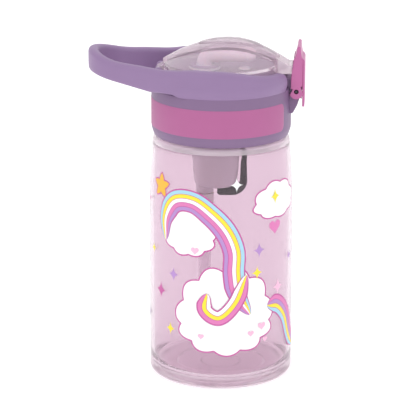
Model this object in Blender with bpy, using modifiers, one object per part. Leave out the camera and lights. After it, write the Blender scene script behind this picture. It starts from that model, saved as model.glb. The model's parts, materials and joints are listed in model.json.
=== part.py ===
"""Kids water bottle: clear bottle, screw cap with carrying loop, flip lid, latch and folding spout.

Origin: middle of the base.  +Z is up, the latch faces +X, the lid hinge and the loop face -X.
Every size below is in millimetres and MM turns it to metres.
"""
import bpy
import bmesh
from math import asin, cos, pi, radians, sin, sqrt, tau
from mathutils import Matrix

MM = 0.001

# ---- clearances ----
GAP = 0.35               # between neighbouring pieces that don't move
RUN = 0.4                # between pieces that move past each other
PIN_GAP = 0.25           # radial, pin in its bore

# ---- bottle ----
BODY_R = 35.0            # outside radius of the wall
BODY_H = 119.6           # base to shoulder
BODY_WALL = 1.8
TAPER_H = 24.6           # height over which the wall leans in under the shoulder
TAPER_IN = 1.8           # how far it leans in
SHOULDER_ROUND = 1.8
FLOOR = 4.6              # thick clear floor
BASE_ROUND = 3.1
FLOOR_ROUND = 6.0
PAD_R = 9.0              # flat middle of the base
RECESS_R = 22.0          # ring-shaped recess round it
RECESS_DEEP = 0.8
NECK_SET = 6.5           # neck's radius less than the body's
NECK_WALL = 2.0
NECK_H = 17.4
NECK_FILLET = 1.2

# ---- thread ----
PITCH = 4.6
TURNS = 1.0
NECK_BEAD = 1.3
CAP_BEAD = 1.2
THREAD_LOW = 6.9         # first turn of the neck thread above the shoulder
THREAD_START = 23.0      # degrees from +X
THREAD_ROOM = 1.7        # neck wall to cap wall

# ---- cap collar ----
COLLAR_WALL = 3.6        # from the threaded bore to the outside
RIM_LIFT = 0.8           # rim above the shoulder
RIM_CHAMFER = 3.6
RIM_IN = 1.2
COLLAR_H = 23.9          # rim to the step under the handle ring
SPIGOT_IN = 2.6          # step in to the spigot that carries the ring
DECK_RISE = 6.1          # step to the top of the deck
DECK_T = 2.2
LEDGE_IN = 4.2           # sealing ledge width, measured from the threaded wall

# ---- grip band ----
BAND_LOW = 4.8           # above the rim
BAND_H = 13.7
BAND_DEEP = 1.5
BAND_END = 25.0          # degrees from +X
BAND_CORNER = 2.8

# ---- gasket ----
GASKET_T = 1.5
GASKET_W = 2.6

# ---- handle ring and loop ----
RING_OVER = 1.2          # how far the ring stands out past the collar
RING_T = 6.4
RING_RISE = 12.8         # step to the ring's top
RING_ROUND = 2.8
RING_FRONT_DIP = 4.6     # how much lower the top is at the latch than at the sides
RING_DRAFT = 1.0         # lean of the wall, out towards its lower edge
LOOP_END_R = 20.0        # outside radius of the loop's far end
LOOP_OUT = 29.2          # loop's far end from the ring's outside
LOOP_T = 3.9
LOOP_RISE = 6.0          # how far the loop climbs towards its end
ARM_LIFT = 0.9           # arm's lower edge above the ring's

# ---- latch bracket, latch and its pin ----
LATCH_W = 18.0
CHEEK_T = 2.0
LATCH_STAND = 2.6        # pin out from the collar's wall
LATCH_DROP = 1.4         # pin below the collar's step
LATCH_OUT = 3.9          # outer face of the plate from the pin
PLATE_T = 1.1
LATCH_UP = 15.2          # plate's top above the pin
LATCH_DOWN = 7.4         # plate's foot below the pin
CHEEK_IN = 2.7           # cheek's inner edge from the pin
TAB_UP = 22.1
TAB_T = 1.9
LATCH_PIN_R = 0.85
LATCH_SWING = 12.0       # degrees
NOTCH_SIDE = 3.3         # room beside the latch in the ring

# ---- latch spring ----
SPRING_R = 1.0
SPRING_WIRE = 0.4
SPRING_TURNS = 4
SPRING_LOW = 4.3         # below the pin
SPRING_LEN = 3.9

# ---- lid ----
LID_AIR = 1.7            # between the folded spout and the crown's underside
LID_CROWN_X = 3.6
LID_FRONT_DROP = 12.0    # crown to the spine's height at the tongue's nose
LID_BACK_DROP = 10.8     # crown to the spine's height at the hinge
LID_EDGE_H = 5.6         # deck to the skirt's top edge
LID_WALL = 1.8
LID_FLANK = 1.8          # exponent of the flank's fall
SPINE_W = 22.0
SPINE_END_W = 9.0
SPINE_STEP = 0.9
PAD_SHIFT = 1.0          # raised oval's middle ahead of the crown
PAD_IN = 7.6             # its front end in from the lid's edge
PAD_SIDE = 4.5           # its side in from the spine's edge
PAD_STEP = 0.45
TONGUE_SHORT = 1.8       # tongue's nose short of the latch pin
TONGUE_LIP = 0.7

# ---- lid hinge ----
HINGE_IN = 1.2           # pin in from the spigot's wall
HINGE_UP = 0.8           # pin above the deck
BARREL_R = 1.9
BARREL_W = 9.4
LUG_R = 2.2
LUG_W = 3.4
HINGE_PIN_R = 0.9

# ---- spout ----
SPOUT_AHEAD = 22.0       # knee ahead of the hinge pin
SPOUT_R = 4.2
SPOUT_TIP_IN = 12.2      # spout's lip in from the lid's edge
SPOUT_W = 10.5           # mouthpiece width at its lip
SPOUT_H = 6.8
SPOUT_STAND = 3.0        # underside of the knee above the deck
SPOUT_BORE = 1.8
FOOT_R = 7.6
FOOT_T = 1.0
STEM_R = 2.7
STEM_WALL = 0.8
CLAMP_T = 0.9
CLAMP_W = 2.2

# ---- parts under the deck ----
STRAW_IN = 5.8           # straw's axis in from the cup's outside
CUP_R = 11.2
CUP_WALL = 1.2
CUP_DROP = 25.3          # floor of the cup below the shoulder
CUP_TOP = 19.0           # top of the cup above the shoulder
CUP_TAPER = 0.9
CUP_TAPER_H = 8.0
BOSS_DEEP = 7.0          # how far the boss reaches into the cup
O_RING_R = 0.55
GROOVE_DEEP = 1.5        # the O-ring's groove in the boss
GROOVE_UP = 2.2          # its middle above the boss's end
GROOVE_HALF = 0.9
STRAW_R = 3.0
STRAW_WALL = 0.7
STRAW_CLEAR = 5.0        # straw's end above the floor
SLEEVE_T = 1.1
SLEEVE_LEN = 8.0
NIPPLE_LEN = 4.0
NIPPLE_WALL = 0.9
VENT_STAND = 2.4         # vent tube's axis out from the cup
VENT_R = 1.2
VENT_FAT = 2.5
VENT_DROP = 3.1          # hook's middle below the cup's floor
VENT_BEND = 5.5
VENT_SHORT = 5.2         # hook's end from the straw's axis
VALVE_R = 3.0
VALVE_STEM_R = 0.7

# ---- heights and radii that follow ----
SHOULDER = BODY_H
NECK_TOP = SHOULDER + NECK_H
RIM = SHOULDER + RIM_LIFT
STEP = RIM + COLLAR_H
DECK = STEP + DECK_RISE
NECK_R = BODY_R - NECK_SET
BORE_R = NECK_R + THREAD_ROOM
COLLAR_R = BORE_R + COLLAR_WALL
LEDGE = NECK_TOP + GAP + GASKET_T + GAP
LEDGE_R = BORE_R - LEDGE_IN
SPIGOT_R = COLLAR_R - SPIGOT_IN
RING_R = COLLAR_R + RING_OVER
LOOP_REACH = RING_R + LOOP_OUT
LATCH_X = COLLAR_R + LATCH_STAND
TONGUE_X = LATCH_X - TONGUE_SHORT
HINGE_X = HINGE_IN - SPIGOT_R
SPOUT_X = HINGE_X + SPOUT_AHEAD
LATCH_Z = STEP - LATCH_DROP
HINGE_Z = DECK + HINGE_UP
LID_R = RING_R - RING_T - RUN
SPOUT_LIFT = SPOUT_R + SPOUT_STAND
SPOUT_LEN = LID_R - SPOUT_TIP_IN - SPOUT_X
CROWN = DECK + SPOUT_LIFT + SPOUT_R + LID_AIR + LID_WALL + SPINE_STEP
PAD_LEN = 2 * (LID_R - PAD_IN - LID_CROWN_X - PAD_SHIFT)
PAD_W = SPINE_W - 2 * PAD_SIDE
LID_EDGE = DECK + LID_EDGE_H
LID_FOOT = DECK + RUN
RING_TOP = STEP + RING_RISE
CUP_FLOOR = SHOULDER - CUP_DROP
CUP_RIM = SHOULDER + CUP_TOP
CUP_X = SPOUT_X + CUP_R - STRAW_IN
VENT_X = CUP_X + CUP_R + VENT_STAND
VENT_END_X = SPOUT_X + VENT_SHORT
BOSS_R = CUP_R - CUP_WALL - GAP
BOSS_LOW = CUP_RIM - BOSS_DEEP
KNEE_Z = DECK + SPOUT_LIFT
POCKET_W = LATCH_W - 2 * CHEEK_T
BRACKET_W = POCKET_W - 2 * RUN
TONGUE_W = POCKET_W - 2 * RUN

STEPS = 64               # facets round the large turned pieces
SMALL_STEPS = 32


# ---- set-up ----
for old in list(bpy.data.objects):
    bpy.data.objects.remove(old, do_unlink=True)


def collection(name):
    made = bpy.data.collections.new(name)
    bpy.context.scene.collection.children.link(made)
    return made


PARTS = collection("kids_water_bottle")
CUTTERS = collection("cutters")


def material(name, colour, roughness, metallic=0.0, alpha=1.0):
    made = bpy.data.materials.new(name)
    made.use_nodes = True
    shader = made.node_tree.nodes["Principled BSDF"]
    shader.inputs["Base Color"].default_value = (*colour, 1.0)
    shader.inputs["Roughness"].default_value = roughness
    shader.inputs["Metallic"].default_value = metallic
    shader.inputs["Alpha"].default_value = alpha
    return made


CLEAR = material("clear_copolyester", (0.72, 0.55, 0.68), 0.05, alpha=0.35)
SMOKY = material("smoky_copolyester", (0.30, 0.26, 0.30), 0.1, alpha=0.5)
PURPLE = material("purple_polypropylene", (0.31, 0.21, 0.38), 0.4)
PINK = material("pink_polypropylene", (0.52, 0.16, 0.36), 0.35)
BAND = material("pink_soft_touch", (0.46, 0.14, 0.31), 0.6)
SILICONE = material("translucent_silicone", (0.80, 0.72, 0.78), 0.45)
CHARCOAL = material("charcoal_silicone", (0.07, 0.06, 0.07), 0.5)
STEEL = material("stainless_steel", (0.55, 0.55, 0.57), 0.3, metallic=1.0)


# ---- modelling helpers ----
def place(obj, finish=None, cutter=False):
    """Puts an object in its collection with its material."""
    for home in list(obj.users_collection):
        home.objects.unlink(obj)
    (CUTTERS if cutter else PARTS).objects.link(obj)
    if finish:
        obj.data.materials.clear()
        obj.data.materials.append(finish)
    if cutter:
        obj.hide_render = True
        obj.display_type = "WIRE"
    return obj


def from_bmesh(name, bm, finish=None, cutter=False):
    mesh = bpy.data.meshes.new(name)
    bm.to_mesh(mesh)
    bm.free()
    return place(bpy.data.objects.new(name, mesh), finish, cutter)


def arc(across, up, radius, start, end, count):
    """Points of an arc, angles in degrees."""
    turn = [radians(start + (end - start) * i / count) for i in range(count + 1)]
    return [(across + radius * cos(a), up + radius * sin(a)) for a in turn]


def turned(name, profile, finish=None, x=0.0, steps=STEPS, cutter=False):
    """Spins a profile of (radius, height) points round a vertical axis at x."""
    ring = profile[0] == profile[-1]
    bm = bmesh.new()
    points = [bm.verts.new((r * MM, 0.0, z * MM)) for r, z in (profile[:-1] if ring else profile)]
    for a, b in zip(points, points[1:]):
        bm.edges.new((a, b))
    if ring:
        bm.edges.new((points[-1], points[0]))
    obj = from_bmesh(name, bm, finish, cutter)
    obj.location.x = x * MM
    screw = obj.modifiers.new("spin", "SCREW")
    screw.steps = steps
    screw.render_steps = steps
    screw.use_merge_vertices = True
    screw.merge_threshold = 0.00001
    return obj


def closed(profile):
    """A profile that ends where it starts, for rings."""
    return profile + [profile[0]]


def tube_profile(inner, outer, low, high):
    return closed([(inner, high), (outer, high), (outer, low), (inner, low)])


def box(name, low, high, finish=None, cutter=False):
    size = [h - l for l, h in zip(low, high)]
    middle = [(h + l) / 2 for l, h in zip(low, high)]
    bpy.ops.mesh.primitive_cube_add(size=1.0)
    obj = bpy.context.object
    obj.name = name
    obj.data.transform(Matrix.Diagonal([s * MM for s in size] + [1.0]))
    obj.location = [m * MM for m in middle]
    return place(obj, finish, cutter)


def cylinder(name, radius, length, at, axis="Z", finish=None, cutter=False, steps=24):
    """A round bar of this length, its middle at a point."""
    bpy.ops.mesh.primitive_cylinder_add(vertices=steps, radius=radius * MM, depth=length * MM)
    obj = bpy.context.object
    obj.name = name
    turn = {"X": (pi / 2, "Y"), "Y": (pi / 2, "X"), "Z": (0.0, "Z")}[axis]
    obj.data.transform(Matrix.Rotation(turn[0], 4, turn[1]))
    obj.location = [c * MM for c in at]
    return place(obj, finish, cutter)


def plate(name, outline, width, finish=None, cutter=False, y=0.0):
    """An (x, z) outline extruded along Y, its middle at y."""
    bm = bmesh.new()
    near = [bm.verts.new((x * MM, (y - width / 2) * MM, z * MM)) for x, z in outline]
    face = bm.faces.new(near)
    far = bmesh.ops.extrude_face_region(bm, geom=[face])["geom"]
    moved = [v for v in far if isinstance(v, bmesh.types.BMVert)]
    bmesh.ops.translate(bm, verts=moved, vec=(0.0, width * MM, 0.0))
    bmesh.ops.recalc_face_normals(bm, faces=bm.faces)
    return from_bmesh(name, bm, finish, cutter)


def loft(name, sections, ends, finish=None, cutter=False):
    """Skins closed sections of equal count. ends is "loop", or "caps" for a flat face at both."""
    bm = bmesh.new()
    rings = [[bm.verts.new([c * MM for c in p]) for p in section] for section in sections]
    count = len(rings[0])
    spans = list(zip(rings, rings[1:]))
    if ends == "loop":
        spans.append((rings[-1], rings[0]))
    for a, b in spans:
        for i in range(count):
            j = (i + 1) % count
            bm.faces.new((a[i], a[j], b[j], b[i]))
    if ends == "caps":
        bm.faces.new(rings[0])
        bm.faces.new(rings[-1])
    bmesh.ops.recalc_face_normals(bm, faces=bm.faces)
    return from_bmesh(name, bm, finish, cutter)


def boolean(obj, other, operation):
    modifier = obj.modifiers.new(other.name, "BOOLEAN")
    modifier.operation = operation
    modifier.object = other
    modifier.solver = "EXACT"


def cut(obj, *others):
    for other in others:
        boolean(obj, other, "DIFFERENCE")


def join(obj, *others):
    for other in others:
        boolean(obj, other, "UNION")


def bevel(obj, width, segments=2, angle=40.0):
    modifier = obj.modifiers.new("bevel", "BEVEL")
    modifier.width = width * MM
    modifier.segments = segments
    modifier.limit_method = "ANGLE"
    modifier.angle_limit = radians(angle)
    modifier.use_clamp_overlap = True


def wire(name, points, radii, thick, finish=None, resolution=2):
    """A curve through points with a round bevel, thick times each point's own factor."""
    data = bpy.data.curves.new(name, "CURVE")
    data.dimensions = "3D"
    data.bevel_depth = thick * MM
    data.bevel_resolution = resolution
    data.use_fill_caps = True
    spline = data.splines.new("POLY")
    spline.points.add(len(points) - 1)
    for slot, point, factor in zip(spline.points, points, radii):
        slot.co = (*[c * MM for c in point], 1.0)
        slot.radius = factor
    return place(bpy.data.objects.new(name, data), finish)


def meshed(curve, cutter=False):
    """A mesh copy of a curve with welded caps, in place of the curve."""
    name = curve.name
    bpy.context.view_layer.update()
    ready = curve.evaluated_get(bpy.context.evaluated_depsgraph_get())
    mesh = bpy.data.meshes.new_from_object(ready)
    bm = bmesh.new()
    bm.from_mesh(mesh)
    bmesh.ops.remove_doubles(bm, verts=bm.verts, dist=0.000001)
    bmesh.ops.recalc_face_normals(bm, faces=bm.faces)
    bm.to_mesh(mesh)
    bm.free()
    obj = bpy.data.objects.new(name, mesh)
    obj.matrix_world = curve.matrix_world
    bpy.data.objects.remove(curve, do_unlink=True)
    obj.name = name
    return place(obj, cutter=cutter)


def thread_bead(name, radius, bead, low):
    """One helical bead on a wall of this radius, thinning out at both ends."""
    count = int(32 * TURNS)
    run_out = 4
    points = []
    for i in range(count + 1):
        a = radians(THREAD_START) + TURNS * tau * i / count
        points.append((radius * cos(a), radius * sin(a), low + TURNS * PITCH * i / count))
    radii = [min(1.0, 0.35 + 0.65 * min(i, count - i) / run_out) for i in range(count + 1)]
    return meshed(wire(name, points, radii, bead), cutter=True)


def smooth(t):
    """0 to 1 with level ends."""
    t = min(max(t, 0.0), 1.0)
    return t * t * (3 - 2 * t)


# ---- bottle ----
def bottle_body():
    top_r = BODY_R - TAPER_IN
    inner_r = BODY_R - BODY_WALL
    lean_low = SHOULDER - TAPER_H
    under = SHOULDER - BODY_WALL
    round_in = max(SHOULDER_ROUND - BODY_WALL, 0.0) + 0.6
    neck_in = NECK_R - NECK_WALL
    inside = [(0.0, FLOOR)]
    inside += arc(inner_r - FLOOR_ROUND, FLOOR + FLOOR_ROUND, FLOOR_ROUND, -90, 0, 5)
    inside += [(inner_r, lean_low)]
    inside += arc(top_r - BODY_WALL - round_in, under - round_in, round_in, 0, 90, 2)
    inside += [(neck_in + NECK_FILLET, under), (neck_in, under + NECK_FILLET), (neck_in, NECK_TOP)]
    outside = [(NECK_R - 0.5, NECK_TOP), (NECK_R, NECK_TOP - 0.5), (NECK_R, SHOULDER + 0.6)]
    outside += [(NECK_R + 0.6, SHOULDER)]
    outside += arc(top_r - SHOULDER_ROUND, SHOULDER - SHOULDER_ROUND, SHOULDER_ROUND, 90, 0, 3)
    outside += [(BODY_R, lean_low)]
    outside += arc(BODY_R - BASE_ROUND, BASE_ROUND, BASE_ROUND, 0, -90, 4)
    outside += [(RECESS_R, 0.0), (RECESS_R - RECESS_DEEP, RECESS_DEEP)]
    outside += [(PAD_R + RECESS_DEEP, RECESS_DEEP), (PAD_R, 0.0), (0.0, 0.0)]
    body = turned("bottle_body", inside + outside, CLEAR)
    join(body, thread_bead("neck_thread", NECK_R, NECK_BEAD, SHOULDER + THREAD_LOW))
    return body


# ---- cap collar ----
def band_arc(name, inner, outer, spread, finish=None, cutter=False):
    """The band's C shape with rounded corners, spread wider all round by a clearance."""
    half = BAND_H / 2 + spread
    middle = RIM + BAND_LOW + BAND_H / 2
    start = radians(BAND_END) - spread / COLLAR_R
    sweep = tau - 2 * start
    corner = BAND_CORNER + spread
    near = [corner * (1 - cos(radians(a))) for a in (0, 22, 45, 67, 90)]
    angles = [start + d / COLLAR_R for d in near]
    count = 44
    angles += [start + sweep * i / count for i in range(2, count - 1)]
    angles += [start + sweep - d / COLLAR_R for d in reversed(near)]
    sections = []
    for a in angles:
        run = min(a - start, start + sweep - a) * COLLAR_R
        short = corner - run
        tall = half - (corner - sqrt(max(corner**2 - short**2, 0.0)) if short > 0 else 0.0)
        ring = [(inner, -tall), (outer, -tall), (outer, tall), (inner, tall)]
        sections.append([(r * cos(a), r * sin(a), middle + z) for r, z in ring])
    return loft(name, sections, "caps", finish, cutter)


def cap_collar():
    profile = [(0.0, DECK), (SPIGOT_R - 0.4, DECK), (SPIGOT_R, DECK - 0.4), (SPIGOT_R, STEP)]
    profile += [(COLLAR_R - 0.5, STEP), (COLLAR_R, STEP - 0.5), (COLLAR_R, RIM + RIM_CHAMFER)]
    profile += [(COLLAR_R - RIM_IN, RIM), (BORE_R + 0.6, RIM), (BORE_R, RIM + 0.8)]
    profile += [(BORE_R, LEDGE), (LEDGE_R, LEDGE), (LEDGE_R, DECK - DECK_T), (0.0, DECK - DECK_T)]
    collar = turned("cap_collar", profile, PURPLE)
    join(collar, thread_bead("cap_thread", BORE_R, CAP_BEAD, SHOULDER + THREAD_LOW - PITCH / 2))
    cut(collar, band_arc("band_recess", COLLAR_R - BAND_DEEP, COLLAR_R + 2.0, 0.0, cutter=True))

    boss_top = DECK - DECK_T / 2
    groove = BOSS_LOW + GROOVE_UP
    over, under = groove + GROOVE_HALF, groove - GROOVE_HALF
    boss = [(0.0, boss_top), (BOSS_R, boss_top), (BOSS_R, over), (BOSS_R - GROOVE_DEEP, over)]
    boss += [(BOSS_R - GROOVE_DEEP, under), (BOSS_R, under), (BOSS_R, BOSS_LOW), (0.0, BOSS_LOW)]
    join(collar, turned("cup_boss", boss, x=CUP_X, steps=SMALL_STEPS, cutter=True))
    port_z = (DECK + BOSS_LOW) / 2
    port_len = DECK - BOSS_LOW + 4.0
    cut(collar, cylinder("port", STEM_R + GAP, port_len, (SPOUT_X, 0.0, port_z), cutter=True))
    cut(collar, cylinder("vent", VALVE_STEM_R + GAP, 12.0, (VENT_X, 0.0, DECK), cutter=True, steps=12))

    half = BARREL_W / 2 + RUN + LUG_W
    back, ahead = HINGE_X - LUG_R - 0.4, HINGE_X + LUG_R + 0.4
    floor = HINGE_Z - BARREL_R - RUN
    low, high = (back, -half - 0.4, STEP - 1.0), (ahead, half + 0.4, DECK - 0.6)
    join(collar, box("hinge_block", low, high, cutter=True))
    low, high = (back - 4.0, -half - RUN - 0.4, floor), (ahead + RUN, half + RUN + 0.4, DECK + 4.0)
    cut(collar, box("hinge_trough", low, high, cutter=True))
    lug = arc(HINGE_X, HINGE_Z, LUG_R, 0, 180, 10) + [(HINGE_X - LUG_R, floor - 0.8)]
    lug += [(HINGE_X + LUG_R, floor - 0.8)]
    for side in (-1, 1):
        middle = side * (BARREL_W / 2 + RUN + LUG_W / 2)
        join(collar, plate("lug", lug, LUG_W, cutter=True, y=middle))
    at = (HINGE_X, 0.0, HINGE_Z)
    cut(collar, cylinder("hinge_bore", HINGE_PIN_R + PIN_GAP, 2 * half + 4.0, at, "Y", cutter=True, steps=16))

    front = LATCH_X + LATCH_OUT - PLATE_T - RUN - 0.4
    swing_in = (LATCH_DOWN + 0.5) * sin(radians(LATCH_SWING))
    bracket = [(COLLAR_R - 2.5, LATCH_Z - 11.2), (COLLAR_R + 0.9, LATCH_Z - 11.2)]
    bracket += [(front + 0.4 - swing_in, LATCH_Z - LATCH_DOWN + 0.3), (front, LATCH_Z - 2.4)]
    bracket += [(front, LATCH_Z + 2.6), (LATCH_X - 0.6, LATCH_Z + 6.0), (SPIGOT_R - 1.5, LATCH_Z + 6.0)]
    join(collar, plate("latch_bracket", bracket, BRACKET_W, cutter=True))
    at = (LATCH_X, 0.0, LATCH_Z)
    cut(collar, cylinder("latch_bore", LATCH_PIN_R + PIN_GAP, LATCH_W, at, "Y", cutter=True, steps=16))
    at = (spring_back() + 5.0, 0.0, LATCH_Z - SPRING_LOW)
    hole_r = SPRING_R + SPRING_WIRE / 2 + GAP
    cut(collar, cylinder("spring_hole", hole_r, 10.0 + 2 * GAP, at, "X", cutter=True, steps=16))
    return collar


def spring_back():
    """Where the latch spring's inner end sits."""
    return LATCH_X + LATCH_OUT - PLATE_T - GAP - SPRING_LEN


def grip_band():
    inner = COLLAR_R - BAND_DEEP + GAP
    return band_arc("grip_band", inner, COLLAR_R + 0.1, -GAP, BAND)


def neck_gasket():
    low = NECK_TOP + GAP
    outer = NECK_R
    return turned("neck_gasket", tube_profile(outer - GASKET_W, outer, low, low + GASKET_T), SILICONE)


# ---- handle ring and loop ----
def racket_outline():
    """The ring's circle and the loop's end arc with their two tangents: (x, y, outward angle)."""
    end_x = -(LOOP_REACH - LOOP_END_R)
    lean = asin((RING_R - LOOP_END_R) / abs(end_x))
    leave = pi / 2 + lean
    ring_count, line_count, end_count = 60, 9, 16
    points = []
    for i in range(ring_count + 1):
        a = -leave + 2 * leave * i / ring_count
        points.append((RING_R * cos(a), RING_R * sin(a), a))
    start = points[-1]
    stop = (end_x + LOOP_END_R * cos(leave), LOOP_END_R * sin(leave))
    for i in range(1, line_count):
        t = i / line_count
        points.append((start[0] + (stop[0] - start[0]) * t, start[1] + (stop[1] - start[1]) * t, leave))
    for i in range(end_count + 1):
        a = leave + (tau - 2 * leave) * i / end_count
        points.append((end_x + LOOP_END_R * cos(a), LOOP_END_R * sin(a), a))
    for i in range(1, line_count):
        t = i / line_count
        points.append((stop[0] + (start[0] - stop[0]) * t, -stop[1] - (start[1] - stop[1]) * t, tau - leave))
    return points


def handle_levels(x):
    """Lower and upper edge of the ring or loop at x."""
    arm_start = RING_R - 2.0
    reach = LOOP_REACH - arm_start
    away = max(-x - arm_start, 0.0) / reach
    low = STEP + GAP + ARM_LIFT * smooth((-x - 0.5 * RING_R) / 5.0) + LOOP_RISE * away
    top = RING_TOP - RING_FRONT_DIP * smooth(x / RING_R)
    top += -1.0 * smooth((-x - 10.0) / 20.0) + LOOP_RISE * away**1.8
    return low, top


def handle_ring():
    sections = []
    ledge = DECK + RUN
    inner = RING_R - SPIGOT_R - GAP
    for x, y, a in racket_outline():
        low, top = handle_levels(x)
        thin = smooth((-x - 0.35 * RING_R) / 10.0)
        lower = smooth((-x - 0.63 * RING_R) / 8.0)
        ring = [(0.0, low + 0.8), (0.5 * RING_DRAFT, low + 4.5), (0.9 * RING_DRAFT, low + 7.5)]
        ring += [(RING_DRAFT, top - RING_ROUND), (RING_DRAFT + 0.4, top - 0.5 * RING_ROUND)]
        ring += [(RING_DRAFT + 1.4, top - 0.13 * RING_ROUND), (RING_DRAFT + RING_ROUND, top)]
        ring += [(RING_T - 1.0, top - 0.1), (RING_T - 0.3, top - 0.5), (RING_T, top - 1.3)]
        ring += [(RING_T, ledge), (inner, ledge), (inner, low), (0.6, low)]
        tall = top - low
        arm = [(0.25, low + 1.4), (0.0, low + 0.35 * tall), (0.0, low + 0.65 * tall)]
        arm += [(0.15, top - 1.8), (0.55, top - 0.8), (1.1, top - 0.25), (0.5 * LOOP_T, top)]
        arm += [(LOOP_T - 1.1, top - 0.25), (LOOP_T - 0.5, top - 0.8), (LOOP_T - 0.1, top - 1.8)]
        arm += [(LOOP_T, low + 0.4 * tall), (LOOP_T - 0.2, low + 1.4), (LOOP_T - 1.0, low + 0.2)]
        arm += [(1.0, low + 0.2)]
        section = []
        for (n0, z0), (n1, z1) in zip(ring, arm):
            n = n0 + (n1 - n0) * thin
            section.append((x - n * cos(a), y - n * sin(a), z0 + (z1 - z0) * lower))
        sections.append(section)
    handle = loft("handle_ring", sections, "loop", PURPLE)
    half = LATCH_W / 2 + NOTCH_SIDE
    low, high = (12.0, -half, STEP - 5.0), (RING_R + 9.0, half, RING_TOP + 9.0)
    cut(handle, box("latch_notch", low, high, cutter=True))
    return handle


# ---- lid ----
def crown(x):
    """Height of the lid's spine at x."""
    end, drop = (TONGUE_X, LID_FRONT_DROP) if x > LID_CROWN_X else (HINGE_X, LID_BACK_DROP)
    return CROWN - drop * ((x - LID_CROWN_X) / (end - LID_CROWN_X)) ** 2


def spine_half(x):
    """Half the spine's width at x."""
    along = min(abs(x - LID_CROWN_X) / (abs(HINGE_X) + 1.5), 1.0)
    end = SPINE_END_W / 2 if x < 0 else TONGUE_W / 2 - 0.3
    return end + (SPINE_W / 2 - end) * (1 - along**2.2)


def dome(radius, drop, share, a):
    """A point of the dome's skin at a share of the radius along the angle a."""
    x, y = radius * share * cos(a), radius * share * sin(a)
    peak = crown(x) - SPINE_STEP - drop
    low = LID_EDGE - drop
    edge = sqrt(max(radius**2 - x**2, 0.0))
    side = 1.0 if share >= 1.0 else min(abs(y) / max(edge, 0.01), 1.0)
    return (x, y, peak - (peak - low) * side**LID_FLANK)


def lid():
    shares = (0.14, 0.3, 0.45, 0.6, 0.73, 0.84, 0.92, 0.97, 1.0)
    count = 48
    bm = bmesh.new()
    top = bm.verts.new([c * MM for c in dome(LID_R, 0.0, 0.0, 0.0)])
    under = bm.verts.new([c * MM for c in dome(LID_R, LID_WALL, 0.0, 0.0)])
    columns = []
    inner_r = LID_R - LID_WALL
    for i in range(count):
        a = tau * i / count
        path = [dome(LID_R, 0.0, s, a) for s in shares]
        path += [(LID_R * cos(a), LID_R * sin(a), LID_FOOT), (inner_r * cos(a), inner_r * sin(a), LID_FOOT)]
        path += [dome(inner_r, LID_WALL, s, a) for s in reversed(shares)]
        columns.append([bm.verts.new([c * MM for c in p]) for p in path])
    for i in range(count):
        a, b = columns[i], columns[(i + 1) % count]
        bm.faces.new((top, a[0], b[0]))
        bm.faces.new((under, b[-1], a[-1]))
        for j in range(len(a) - 1):
            bm.faces.new((a[j], a[j + 1], b[j + 1], b[j]))
    bmesh.ops.recalc_face_normals(bm, faces=bm.faces)
    shell = from_bmesh("lid", bm, CLEAR)

    back, front, count = HINGE_X + 0.6, TONGUE_X - 1.2, 26
    sections = []
    for i in range(count + 1):
        x = back + (front - back) * i / count
        half, top_z = spine_half(x), crown(x)
        ring = [(-half, top_z - 2.4), (-half, top_z - 1.6), (-0.85 * half, top_z - 1.0)]
        ring += [(-0.45 * half, top_z - 0.3)]
        ring += [(0.0, top_z)] + [(-y, z) for y, z in reversed(ring)]
        sections.append([(x, y, z) for y, z in ring])
    join(shell, loft("lid_spine", sections, "caps", cutter=True))

    count = 20
    sections = []
    for high in (-1.2, 0.55 * PAD_STEP, PAD_STEP):
        shrink = 0.5 if high == PAD_STEP else 0.0
        ring = []
        for i in range(count):
            a = tau * i / count
            x = LID_CROWN_X + PAD_SHIFT + (PAD_LEN / 2 - shrink) * cos(a)
            y = (PAD_W / 2 - shrink) * sin(a)
            ring.append((x, y, crown(x) - 1.9 * (y / spine_half(x)) ** 2 + high))
        sections.append(ring)
    join(shell, loft("lid_pad", sections, "caps", cutter=True))

    at = (HINGE_X, 0.0, HINGE_Z)
    join(shell, cylinder("barrel", BARREL_R, BARREL_W - 0.1, at, "Y", cutter=True, steps=20))
    web = [(HINGE_X - 0.9, HINGE_Z + 0.8), (HINGE_X + 1.6, HINGE_Z - 0.5), (HINGE_X + 4.0, LID_FOOT + 0.6)]
    web += [(HINGE_X + 4.0, crown(HINGE_X + 4.0) - 1.0), (HINGE_X + 1.2, crown(HINGE_X + 1.2) - 0.9)]
    join(shell, plate("barrel_web", web, SPINE_END_W - 0.8, cutter=True))
    bore_len = BARREL_W + 4.0
    cut(shell, cylinder("barrel_bore", HINGE_PIN_R + PIN_GAP, bore_len, at, "Y", cutter=True, steps=16))
    nose, root = TONGUE_X, LID_R - 2.4
    tongue = [(root, crown(root) - 0.8), (nose - 1.6, crown(nose - 1.6) - 0.5), (nose, LID_EDGE - 0.6)]
    tongue += [(nose, LID_FOOT + 1.6), (nose + TONGUE_LIP, LID_FOOT + 1.2)]
    tongue += [(nose + TONGUE_LIP, LID_FOOT + 0.1), (root, LID_FOOT + 0.1)]
    join(shell, plate("tongue", tongue, TONGUE_W, cutter=True))

    half = BARREL_W / 2 + RUN + LUG_W + RUN
    for side in (-1, 1):
        y0, y1 = sorted((side * BARREL_W / 2, side * half))
        low, high = (HINGE_X - 4.0, y0, LID_FOOT - 2.0), (HINGE_X + LUG_R + 2.8, y1, LID_EDGE + 4.0)
        cut(shell, box("lug_room", low, high, cutter=True))
    return shell


def pin(name, radius, length, x, z):
    made = cylinder(name, radius, length, (x, 0.0, z), "Y", STEEL, steps=16)
    bevel(made, 0.2, 1)
    return made


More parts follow.
